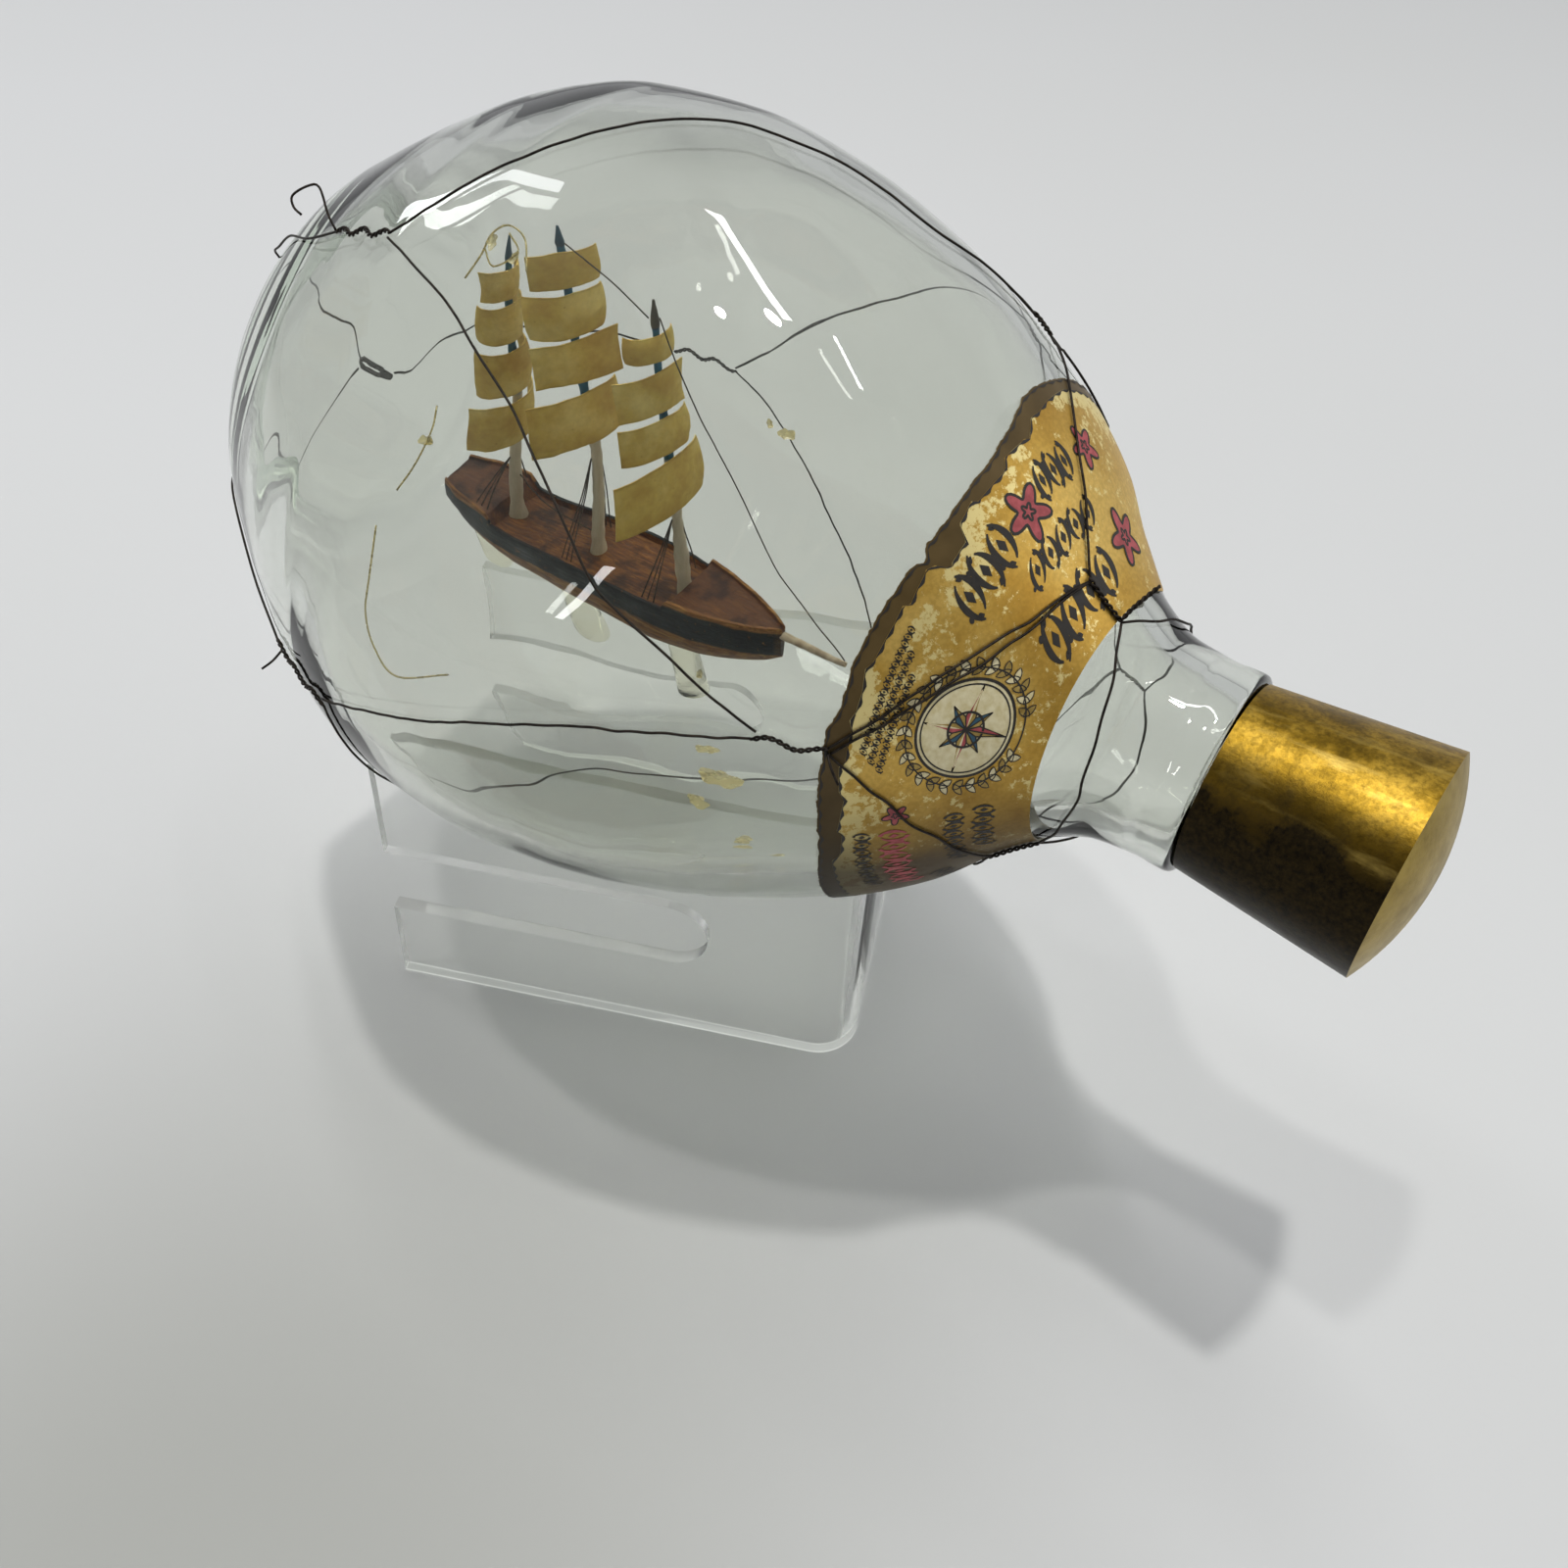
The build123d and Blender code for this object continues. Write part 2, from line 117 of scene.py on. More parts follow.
def make_piece(name, verts, faces, material, slot=None, node=None, sharp=None, weld=False):
    """A smooth-shaded object, with edges over sharp degrees kept hard.  With a slot of
    the record it rides on the bottle, and with a node it stands in for that node."""
    mesh = bpy.data.meshes.new(name)
    mesh.from_pydata([tuple(v) for v in verts], [], [tuple(f) for f in faces])
    if weld:
        bm = bmesh.new()
        bm.from_mesh(mesh)
        bmesh.ops.remove_doubles(bm, verts=bm.verts, dist=2e-6)
        bm.to_mesh(mesh)
        bm.free()
    mesh.validate()
    mesh.shade_smooth()
    if sharp:
        mesh.set_sharp_from_angle(angle=math.radians(sharp))
    mesh.materials.append(material)
    obj = new_object(name, mesh)
    if slot:
        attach(obj, "bottle")
    if node:
        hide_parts(node)
    return obj


def store(obj, name, values):
    """One number per vertex, for the materials to read."""
    att = obj.data.attributes.new(name, "FLOAT", "POINT")
    att.data.foreach_set("value", np.asarray(values, float).ravel())


@np.vectorize
def uneven(x, y, z):
    """Smooth noise between -1 and 1, for numbers or arrays."""
    return noise.noise(Vector((x, y, z)))


def around(angle):
    """Points of the unit circle."""
    return np.stack([np.cos(angle), np.sin(angle)], -1)


def grid_faces(n, m, wrap=False, start=0):
    """Quads of a grid of n rows by m columns; wrap closes each row."""
    i, j = np.meshgrid(np.arange(n - 1), np.arange(m if wrap else m - 1), indexing="ij")
    k = (j + 1) % m
    return (start + np.stack([i * m + j, i * m + k, (i + 1) * m + k, (i + 1) * m + j],
                             -1)).reshape(-1, 4)


def with_ends(n, m):
    """Faces of a closed tube: the wrapped grid and its two ends."""
    return [*grid_faces(n, m, True), range(m)[::-1], range((n - 1) * m, n * m)]


def sheet_rim(n, m, flip):
    """Quads closing the edge between two n by m grids, the second after the first."""
    k = np.arange(n * m).reshape(n, m)
    loop = np.concatenate([k[0, :-1], k[:-1, -1], k[-1, :0:-1], k[:0:-1, 0]])
    nxt = np.roll(loop, -1)
    if flip:
        return np.stack([loop, nxt, nxt + n * m, loop + n * m], -1)
    return np.stack([loop, loop + n * m, nxt + n * m, nxt], -1)


def tube(points, radius, sides=10):
    """Verts and faces of a closed round tube along points (any length unit)."""
    p = np.asarray(points, float)
    n = len(p)
    radius = np.broadcast_to(np.asarray(radius, float), (n,))
    t = np.gradient(p, axis=0)
    t /= np.linalg.norm(t, axis=1)[:, None]
    side = np.cross(t[0], [0, 0, 1.0] if abs(t[0][2]) < 0.9 else [0, 1.0, 0])
    verts = []
    th = np.arange(sides) * 2 * np.pi / sides
    for q, d, r in zip(p, t, radius):
        side = side - d * np.dot(side, d)
        side /= np.linalg.norm(side)
        up = np.cross(d, side)
        verts.append(q + r * (np.cos(th)[:, None] * side + np.sin(th)[:, None] * up))
    verts = np.concatenate(verts)
    return verts, with_ends(n, sides)


def joined(parts):
    """Several (verts, faces) pairs as one."""
    verts, faces, at = [], [], 0
    for v, f in parts:
        verts.append(np.asarray(v))
        faces += [tuple(int(i) + at for i in g) for g in f]
        at += len(v)
    return np.concatenate(verts), faces


def smooth_line(points, step):
    """Catmull-Rom line through the points, about step apart."""
    p = np.asarray(points, float)
    q = np.vstack([2 * p[0] - p[1], p, 2 * p[-1] - p[-2]])
    out = []
    for a, b, c, d in zip(q, q[1:], q[2:], q[3:]):
        k = max(2, int(np.linalg.norm(c - b) / step))
        for t in np.arange(k) / k:
            out.append(0.5 * (2 * b + (c - a) * t + (2 * a - 5 * b + 4 * c - d) * t * t
                              + (3 * b - a - 3 * c + d) * t ** 3))
    out.append(p[-1])
    return np.array(out)


# ---- node helpers ----
def hexed(code):
    """A colour written as sRGB hex, as linear light."""
    c = [int(code[i:i + 2], 16) / 255 for i in (0, 2, 4)]
    return tuple(v / 12.92 if v < 0.04045 else ((v + 0.055) / 1.055) ** 2.4 for v in c)


class Nodes:
    """Short names for building a node tree.  A colour may be given as sRGB hex."""

    def __init__(self, tree):
        self.tree = tree
        self.coord = self.node("TexCoord").outputs
        self.point = self.coord["Object"]

    def node(self, kind, **inputs):
        n = self.tree.nodes.new("ShaderNode" + kind)
        for key, value in inputs.items():
            self.set(n.inputs[key.replace("_", " ")], value)
        return n

    def set(self, socket, value):
        if isinstance(value, bpy.types.NodeSocket):
            self.tree.links.new(value, socket)
            return
        if isinstance(value, str):
            value = hexed(value)
        if socket.type == "RGBA":
            value = (*value, 1)
        socket.default_value = value

    def stored(self, name):
        """What store() wrote on the mesh."""
        n = self.node("Attribute")
        n.attribute_name = name
        return n.outputs["Fac"]

    def noise(self, scale, detail=4, rough=0.55, vector=None, distortion=0.0):
        n = self.node("TexNoise", Scale=scale, Detail=detail, Roughness=rough,
                      Distortion=distortion, Vector=vector or self.point)
        return n.outputs["Fac"]

    def voronoi(self, scale):
        return self.node("TexVoronoi", Scale=scale, Vector=self.point).outputs["Distance"]

    def stretched(self, sx, sy, sz):
        return self.node("Mapping", Vector=self.point, Scale=(sx, sy, sz)).outputs["Vector"]

    def math(self, op, a, b=0.0):
        n = self.node("Math")
        n.operation = op
        for s, v in zip(n.inputs, (a, b)):
            self.set(s, v)
        return n.outputs[0]

    def plus(self, a, b):
        return self.math("ADD", a, b)

    def times(self, a, b):
        return self.math("MULTIPLY", a, b)

    def vector_math(self, op, output, vector, fixed):
        n = self.node("VectorMath", Vector=vector)
        n.operation = op
        n.inputs[1].default_value = fixed
        return n.outputs[output]

    def span(self, value, a, b, to=(0.0, 1.0), kind="LINEAR"):
        """value mapped from a..b to the range to, clamped."""
        n = self.node("MapRange")
        n.interpolation_type = kind
        for key, v in (("Value", value), ("From Min", a), ("From Max", b), ("To Min", to[0]),
                       ("To Max", to[1])):
            self.set(n.inputs[key], v)
        return n.outputs["Result"]

    def mix(self, factor, a, b):
        n = self.node("Mix")
        n.data_type = "RGBA"
        colours = [s for s in n.inputs if s.type == "RGBA"]
        self.set(n.inputs[0], factor)
        self.set(colours[0], a)
        self.set(colours[1], b)
        return [s for s in n.outputs if s.type == "RGBA"][0]

    def ramp(self, value, *stops):
        n = self.node("ValToRGB", Fac=value)
        while len(n.color_ramp.elements) < len(stops):
            n.color_ramp.elements.new(0.5)
        for e, (at, colour) in zip(n.color_ramp.elements, stops):
            e.position = at
            e.color = (*hexed(colour), 1)
        return n.outputs["Color"]

    def bump(self, height, distance, strength=1.0, normal=None):
        n = self.node("Bump", Height=height, Strength=strength, Distance=distance)
        if normal is not None:
            self.set(n.inputs["Normal"], normal)
        return n.outputs["Normal"]

    def axis(self, letter, source=None):
        return self.node("SeparateXYZ", Vector=source or self.point).outputs[letter]


class Material(Nodes):
    """A new material with one Principled shader."""

    def __init__(self, name):
        self.mat = bpy.data.materials.new(name)
        self.mat.use_nodes = True
        super().__init__(self.mat.node_tree)
        self.bsdf = self.tree.nodes["Principled BSDF"]
        self.out = self.tree.nodes["Material Output"]

    def base(self, **inputs):
        for key, value in inputs.items():
            self.set(self.bsdf.inputs[key.replace("_", " ")], value)

    def lets_lamps_through(self, colour, rim):
        """Light from lamps passes the glass, less so where it grazes it."""
        facing = self.node("LayerWeight", Blend=0.35).outputs["Facing"]
        see = self.node("BsdfTransparent", Color=self.mix(facing, colour, rim))
        both = self.node("MixShader")
        shadow = self.node("LightPath").outputs["Is Shadow Ray"]
        for socket, v in zip(both.inputs, (shadow, self.bsdf.outputs[0], see.outputs[0])):
            self.set(socket, v)
        self.set(self.out.inputs["Surface"], both.outputs[0])


# ---- materials ----
def glass_material():
    m = Material("bottle_glass")
    swirl = m.noise(38, 2, 0.5)
    m.base(Base_Color=(0.865, 0.877, 0.836), Transmission_Weight=1, IOR=1.46,
           Roughness=m.span(m.noise(260, 3), 0.62, 0.8, (0, 0.05)),
           Normal=m.bump(swirl, 0.0006, 0.35))
    dim = m.node("VolumeAbsorption", Color=(0.55, 0.78, 0.55), Density=6.0)
    m.set(m.out.inputs["Volume"], dim.outputs[0])
    m.lets_lamps_through((0.42, 0.43, 0.41), (0.12, 0.13, 0.12))
    return m.mat


def plastic_material():
    m = Material("clear_plastic")
    # Painted light: faces turned up or down, such as the cut edges of the upright walls, are made
    # less clear so they show pale, standing in for the light the sheet carries to its edges.
    up = m.math("ABSOLUTE", m.axis("Z", m.coord["Normal"]))     # cut edges look pale
    m.base(Base_Color=(0.96, 0.965, 0.955), IOR=1.2,
           Transmission_Weight=m.span(up, 0.3, 0.8, (0.965, 0.45)),
           # Painted light: the bottom faces, within 0.6 mm of the floor, glow faintly by emission,
           # standing in for light carried down through the sheet.
           Emission_Color=(0.80, 0.82, 0.78),
           Emission_Strength=m.span(m.axis("Z"), 0.0006, 0.0002, (0, 0.28)),
           Roughness=m.span(m.noise(140, 4), 0.55, 0.8, (0.03, 0.14)),
           Normal=m.bump(m.noise(30, 1), 0.0004, 0.2))
    m.lets_lamps_through((0.72, 0.725, 0.72), (0.3, 0.31, 0.3))
    return m.mat


def glue_material():
    m = Material("glue")
    cloud = m.noise(400, 4)
    m.base(Base_Color=m.mix(cloud, "e8dba0", "cdb666"),
           Roughness=m.span(cloud, 0.3, 0.7, (0.15, 0.4)), Normal=m.bump(cloud, 0.0002, 0.5),
           Transmission_Weight=0.55, IOR=1.45)
    return m.mat


def resin_material():
    m = Material("clear_glue")
    cloud = m.noise(260, 3)
    m.base(Base_Color=m.mix(cloud, "fbfaf2", "f6f2dc"),
           Roughness=m.span(cloud, 0.3, 0.7, (0.02, 0.12)), Normal=m.bump(cloud, 0.0004, 0.4),
           Transmission_Weight=1, IOR=1.18)
    m.lets_lamps_through((0.9, 0.9, 0.85), (0.5, 0.48, 0.4))
    return m.mat


def brass_material():
    m = Material("aged_brass")
    blotch = m.noise(120, 6, 0.66)
    cloud = m.noise(42, 3, 0.5)
    grain = m.noise(1100, 5, 0.7)
    scour = m.noise(300, 5, 0.6, m.stretched(0.16, 1, 1))
    age = m.plus(m.times(blotch, 0.6), m.times(cloud, 0.4))
    worn = m.ramp(age, (0.38, "4a390f"), (0.47, "86691f"), (0.56, "b18f36"), (0.68, "6c541a"))
    worn = m.mix(m.span(grain, 0.42, 0.62, (0, 0.55)), worn, "4c3b12")
    worn = m.mix(m.span(scour, 0.55, 0.70, (0, 0.6)), worn, "c9ab58")
    # Painted shade: the front and low side of the cap, but not its end, is laid over with a dark
    # tarnish colour and made less metallic. This stands in for the shade and dark reflection there,
    # with real tarnish grain in it.
    tarnish_and_shade = m.mix(m.span(grain, 0.35, 0.65), "120c03", "30250c")
    side = m.plus(m.times(m.axis("Y"), -45.5), m.times(m.axis("Z"), -34.1))   # front and low
    low = m.span(m.plus(side, m.times(blotch, 1.5)), -3.38, -2.88)
    end = m.span(m.axis("X", m.coord["Normal"]), 0.6, 0.8)
    low = m.times(low, m.math("SUBTRACT", 1, end))
    colour = m.mix(low, worn, tarnish_and_shade)
    dome = m.mix(m.span(blotch, 0.4, 0.65), "a0883a", "7f6a28")
    colour = m.mix(end, colour, dome)
    m.base(Base_Color=colour, Metallic=m.span(low, 0, 1, (1, 0.85)),
           Roughness=m.span(age, 0.4, 0.7, (0.34, 0.5)),
           Normal=m.bump(grain, 0.00006, 0.6))
    return m.mat


def plain_material(name, colour, dark, rough, scale, metallic=0):
    m = Material(name)
    grain = m.noise(scale, 5)
    m.base(Base_Color=m.mix(m.span(grain, 0.35, 0.65), dark, colour), Metallic=metallic,
           Roughness=m.span(grain, 0.3, 0.7, (rough, min(1, rough + 0.2))),
           Normal=m.bump(grain, 0.0001, 0.6))
    return m.mat


def paper_material():
    m = Material("sail_paper")
    fibre = m.noise(700, 6, 0.7)
    stain = m.noise(130, 4)
    speck = m.voronoi(420)
    colour = m.ramp(stain, (0.33, "cda850"), (0.5, "dfbe60"), (0.68, "f1d884"))
    colour = m.mix(m.span(fibre, 0.35, 0.65, (0, 0.22)), colour, "94703a")
    colour = m.mix(m.span(speck, 0.05, 0.1, (0.35, 0)), colour, "7a5728")
    colour = m.mix(m.span(m.stored("rim"), 0, 0.05, (0.3, 0)), colour, "8a6a36")
    m.base(Base_Color=colour, Roughness=0.7, Normal=m.bump(fibre, 0.00006, 0.6),
           Subsurface_Weight=0.15, Subsurface_Radius=(0.0012, 0.0008, 0.0004))
    return m.mat


def hull_material():
    m = Material("hull_wood")
    deck, height, length = (m.stored(k) for k in ("deck", "height", "length"))
    grain = m.noise(230, 6, 0.65, m.stretched(1, 6, 6), 0.6)
    patch = m.noise(170, 4)
    fine = m.noise(900, 4)
    wood = m.ramp(grain, (0.3, "5c3513"), (0.5, "8d5b27"), (0.72, "bd8c48"))
    planks = m.math("PINGPONG", height, 0.9)
    wood = m.mix(m.span(planks, 0, 0.09, (0.55, 0)), wood, "3a2010")
    top = m.ramp(grain, (0.3, "3c1b06"), (0.5, "6b3b0f"), (0.7, "9b6320"))
    raised = m.math("MAXIMUM", m.span(length, 16.5, 14.0), m.span(length, 56.5, 59.0))
    top = m.mix(m.times(raised, m.span(patch, 0.3, 0.6, (0.5, 1))), top, "5a3114")
    top = m.mix(m.span(patch, 0.5, 0.64, (0, 0.8)), top, "260f06")
    wave = m.times(m.math("SUBTRACT", patch, 0.5), 1.6)
    level = m.plus(height, wave)
    band = m.times(m.span(level, 8.7, 9.2), m.span(level, 15.3, 14.9))
    band = m.times(band, m.span(length, 80.8, 80.0, (0.8, 1)))
    black = m.mix(m.span(fine, 0.4, 0.7, (0, 0.7)), "07090a", "162028")
    wood = m.mix(m.times(band, m.span(fine, 0.22, 0.36)), wood, black)
    colour = m.mix(deck, wood, top)
    m.base(Base_Color=colour, Roughness=m.span(patch, 0.3, 0.7, (0.42, 0.65)),
           Normal=m.bump(grain, 0.0003, 0.7, m.bump(fine, 0.00015, 0.6)), Coat_Weight=0.12)
    return m.mat


def mast_material():
    m = Material("mast_paint")
    height, tip = m.stored("height"), m.stored("tip")
    grain = m.noise(500, 5, 0.6, m.stretched(3, 3, 0.6))
    raw = m.mix(grain, "b6a78b", "e4d8bf")
    blue = m.mix(m.noise(300, 4), "0c4460", "20708c")
    edge = m.plus(height, m.times(grain, 2.0))
    colour = m.mix(m.span(edge, 41.5, 43.0), raw, blue)
    dark = m.mix(m.span(tip, 1.2, 1.8), "1c4658", "4a4636")
    colour = m.mix(m.span(tip, 0.2, 0.8), colour, dark)
    m.base(Base_Color=colour, Roughness=0.55, Normal=m.bump(grain, 0.00015, 0.6))
    return m.mat


def label_material():
    m = Material("gold_paper")
    inside, printed = m.stored("border"), m.stored("printed")
    cloud = m.noise(60, 4)
    foil = m.noise(1500, 3)
    stipple = m.noise(620, 5, 0.75)
    zone = m.noise(95, 3, 0.6)
    gold = m.ramp(cloud, (0.35, "b38a38"), (0.5, "c9a24c"), (0.66, "dcb965"))
    gold = m.mix(m.span(foil, 0.4, 0.6, (0, 0.2)), gold, "795a20")
    near = m.times(m.span(inside, 0.2, 6.5, (1, 0.45)), m.span(zone, 0.38, 0.52))
    pale = m.span(m.plus(stipple, m.times(near, 0.34)), 0.70, 0.76)
    gold = m.mix(pale, gold, "ecd995")
    band = m.mix(m.noise(160, 5), "413319", "6a5838")
    gold = m.mix(m.span(inside, -0.06, 0.06), band, gold)
    # Painted shade: the label turns darker and less shiny towards its bottom, where it faces the
    # floor below.
    painted_shade_low = m.span(m.plus(m.axis("Z"), m.times(cloud, 0.012)), 0.1265, 0.104)
    gold = m.mix(m.times(painted_shade_low, 0.9), gold, "2a2110")
    gold = m.mix(m.span(printed, 0.9, 1), "8f8672", gold)
    shine = m.times(m.span(inside, -0.1, 0.1, (0, 0.55)), m.math("SUBTRACT", 1, painted_shade_low))
    m.base(Base_Color=gold, Metallic=shine, Roughness=m.span(cloud, 0.3, 0.7, (0.36, 0.48)),
           Normal=m.bump(foil, 0.00002, 0.5), Specular_IOR_Level=0.15)
    return m.mat


GLASS = glass_material()
PLASTIC = plastic_material()
BRASS = brass_material()
GOLD = label_material()
WIRE = plain_material("dark_wire", "3a332d", "1a1613", 0.45, 900, 0.8)
HULL_WOOD = hull_material()
MAST = mast_material()
PALE = plain_material("pale_wood", "cbb9a0", "a08c72", 0.6, 500)
PAPER = paper_material()
THREAD = plain_material("thread", "5a5146", "332c25", 0.8, 1500)
GLUE = glue_material()
RESIN = resin_material()
LINER = plain_material("liner", "d8d5c8", "b5b09f", 0.7, 600)
SLEEVE = plain_material("dark_plastic", "4b4626", "38331b", 0.4, 400)


# ---- glass bottle ----
def build_bottle():
    """Outer side from the middle of the base, over the mouth and back inside."""
    a = np.arange(216) * (360 / 216)
    xo = np.concatenate([np.linspace(0.8, 8, 16), np.arange(9, 173.5, 1.0)])
    outer = [(0.95, 0.0), (0.95, 6), (0.9, 9), (0.8, 12), (0.66, 15), (0.5, 18), (0.34, 21),
             (0.2, 24), (0.07, 26.2), (0.0, 27.8), (0.05, 29.2), (0.3, 30.5)]
    outer += list(zip(xo, profile(OUTER, xo) * np.clip(0.985 + 0.015 * xo / 4, 0, 1)))
    neck = [(174.5, 15.95), (175.6, 15.98), (176.4, 16.08), (177.2, 16.1), (178.9, 16.1),
            (179.5, 15.9), (179.85, 15.4), (179.9, 14.4), (179.9, 12.9), (180.1, 12.35)]
    neck += [(x, FINISH_R) for x in np.arange(180.6, 201.3, 0.3)]
    neck += [(201.7, 11.95), (202.0, 11.6), (201.9, 11.2), (201.4, BORE_R)]
    neck += [(x, BORE_R) for x in np.arange(200, 176, -2.0)]
    xi = np.concatenate([np.arange(174, 158, -1.0), np.arange(157, 11, -1.0),
                         [10.5, 10.0, 9.6, 9.2, 8.8, 8.5, 8.25, 8.1]])
    ri = np.where(xi > 172, 11.4, profile(INNER, np.minimum(xi, 172)))
    inner = list(zip(xi, ri)) + [(8.0, 24), (7.95, 20), (7.9, 14), (7.9, 7), (7.9, 0.0)]
    x, r = np.array(outer + neck + inner).T
    xx, aa = np.meshgrid(x, a, indexing="ij")
    rr = shaped(xx, np.repeat(r[:, None], len(a), 1), aa)
    first_in = len(outer) + len(neck)
    on_mouth = slice(len(outer), first_in)
    for k in range(-1, 3):
        at = (aa / 360 + k) * PITCH
        near = np.exp(-((xx - THREAD_X - at) / 0.62) ** 4) * (at >= 0) * (at <= THREAD_LEN)
        rr[on_mouth] += (THREAD_DEPTH * near)[on_mouth]
    p = at_angle(xx, rr, aa)
    some, rows = np.arange(first_in, len(p), 3), np.arange(first_in, len(p))
    wave = uneven(*np.moveaxis(p[some] * 0.045, -1, 0))      # slow waves of the inside
    wave = np.array([np.interp(rows, some, column) for column in wave.T]).T
    p[rows, :, 1:] *= (1 - 0.009 * np.clip(wave, -1, 1))[..., None]
    make_piece("bottle", row(p).reshape(-1, 3), grid_faces(len(p), len(a), True), GLASS,
               "bottle_glass", "glass_bottle", sharp=40, weld=True)


build_bottle()


# ---- label ----
TEAR = [(40, 135.9), (72, 135.6), (81, 135.6), (87, 136.0), (94, 137.5), (103, 138.4),
        (115, 138.4), (124, 138.1), (126.6, 138.7), (128, 137.9), (132, 137.5), (140, 136.9),
        (149, 136.5), (158, 137.0), (163, 136.3), (173, 136.8), (184, 137.4), (194, 137.6),
        (209, 136.4), (223, 135.2), (236, 136.3), (252, 136.8)]
BORDER = [(40, 2.2), (72, 1.5), (85, 2.4), (88, 2.1), (92, 2.9), (93, 2.2), (100, 1.3),
          (101.5, 2.0), (111, 1.7), (112, 1.1), (117, 1.5), (119, 3.2), (125, 3.3), (126.5, 1.1),
          (129, 1.6), (135, 2.3), (136, 1.7), (140, 2.0), (148, 2.0), (149.5, 1.5), (154, 1.9),
          (160, 1.7), (162, 2.6), (169, 2.7), (170, 2.1), (176, 2.4), (178, 3.0), (187, 2.2),
          (188, 2.8), (195, 2.4), (197, 1.6), (219, 2.6), (221, 1.9), (240, 2.6), (252, 2.0)]
LABEL_FROM, LABEL_TO, LABEL_MID = 46, 252, 148.0     # angles of its ends, x of its middle
PAPER_LIFT, RUCK, PAPER_T = 0.14, 0.06, 0.26         # gap, creases, thickness
INK_LIFT = PAPER_LIFT + RUCK + PAPER_T
# ink: its name, pale and dark colour, roughness, metallic
INKS = (("black", "2b2620", "1b1712", 0.5, 0.0), ("red", "b4555a", "94393c", 0.5, 0.0),
        ("blue", "2f5d73", "23475c", 0.5, 0.0), ("gold", "b59a55", "927838", 0.4, 0.4),
        ("cream", "e6dcb6", "d2c493", 0.5, 0.0))


def along(table, a):
    """Value at angle a in a table of (angle, value)."""
    return np.interp(a, *np.array(table, float).T)


def build_label():
    a = np.arange(LABEL_FROM, LABEL_TO + 0.01, 0.4)
    t = np.linspace(0, 1, 61)
    jag = uneven(a * 0.31, 5, 0) * 0.35 + uneven(a * 1.3, 9, 0) * 0.18
    x0 = along(TEAR, a) + jag
    x1 = 159.6 + 0.3 * np.sin(np.radians(a * 2)) - 3.5 * np.clip((56 - a) / 10, 0, 1) ** 2
    ends = np.clip(np.minimum(a - LABEL_FROM, LABEL_TO - a) / 2.0, 0, 1)
    x0 = LABEL_MID + (x0 - LABEL_MID) * (0.9 + 0.1 * ends)
    x1 = LABEL_MID + (x1 - LABEL_MID) * (0.93 + 0.07 * ends)
    xx = x0[None] + (x1 - x0)[None] * t[:, None]
    aa = np.repeat(a[None], len(t), 0)
    ruck = uneven(xx[:, :1] * 0.11, a * 0.035, 3.3)
    lift = PAPER_LIFT + RUCK * np.clip(ruck + 0.3, 0, 1)
    low = row(on_glass(xx, aa, lift)).reshape(-1, 3)
    high = row(on_glass(xx, aa, lift + PAPER_T)).reshape(-1, 3)
    n, m = len(t), len(a)
    faces = np.vstack([grid_faces(n, m, start=n * m), grid_faces(n, m)[:, ::-1],
                       sheet_rim(n, m, False)])
    obj = make_piece("label", np.vstack([low, high]), faces, GOLD, "gold_paper", "label", 50)
    inner = xx - (along(TEAR, aa) + along(BORDER, aa))
    store(obj, "border", np.tile(inner.ravel(), 2))
    store(obj, "printed", np.repeat([0.0, 1.0], n * m))


class Print:
    """Flat ink shapes on the label, gathered by ink, drawn in mm along the bottle's
    girth (towards larger angles) and its axis (towards the cap) from a point at."""

    def __init__(self):
        self.parts = {}

    def add(self, ink, verts, faces):
        self.parts.setdefault(ink, []).append((verts, faces))

    def place(self, at, pts, lift):
        a0, x0 = at
        p = np.asarray(pts, float)
        slope = float(profile(OUTER, x0 + 0.5) - profile(OUTER, x0 - 0.5))
        x = x0 + p[:, 1] / math.hypot(1, slope)
        radius = shaped(x, profile(OUTER, np.clip(x, 0, NECK_END)), a0)
        return row(on_glass(x, a0 + np.degrees(p[:, 0] / radius), INK_LIFT + lift))

    def ribbon(self, ink, at, pts, width, lift=0.03):
        """A line of one width or of a width for each point."""
        p = np.asarray(pts, float)
        w = np.broadcast_to(np.asarray(width, float), (len(p),))[:, None] / 2
        t = np.gradient(p, axis=0)
        t /= np.maximum(np.linalg.norm(t, axis=1), 1e-9)[:, None]
        side = np.stack([-t[:, 1], t[:, 0]], -1)
        v = np.vstack([self.place(at, p + side * w, lift), self.place(at, p - side * w, lift)])
        n = len(p)
        f = [(i + 1, i, n + i, n + i + 1) for i in range(n - 1)]
        self.add(ink, v, f)

    def patch(self, ink, at, pts, lift=0.02, rings=3):
        """A filled star-shaped outline."""
        p = np.asarray(pts, float)
        c = p.mean(0)
        n = len(p)
        v = [self.place(at, c[None], lift)]
        for k in range(1, rings + 1):
            v.append(self.place(at, c + (p - c) * k / rings, lift))
        f = [(0, 1 + (i + 1) % n, 1 + i) for i in range(n)]
        for k in range(rings - 1):
            b = 1 + k * n
            f += [(b + i, b + (i + 1) % n, b + n + (i + 1) % n, b + n + i) for i in range(n)]
        self.add(ink, np.vstack(v), f)

    def finish(self, inks):
        for ink, parts in self.parts.items():
            make_piece("label_print_" + ink, *joined(parts), inks[ink], "gold_paper")


def closed(pts):
    return np.vstack([pts, pts[:1]])


def leaf(foot, length, width, turn):
    t = np.linspace(0, 1, 7)
    up = width * np.sin(np.pi * t) ** 0.8
    pts = np.concatenate([np.stack([t * length, up], -1),
                          np.stack([t[-2:0:-1] * length, -up[-2:0:-1]], -1)])
    c, d = math.cos(turn), math.sin(turn)
    return foot + np.stack([pts[:, 0] * c - pts[:, 1] * d, pts[:, 0] * d + pts[:, 1] * c], -1)


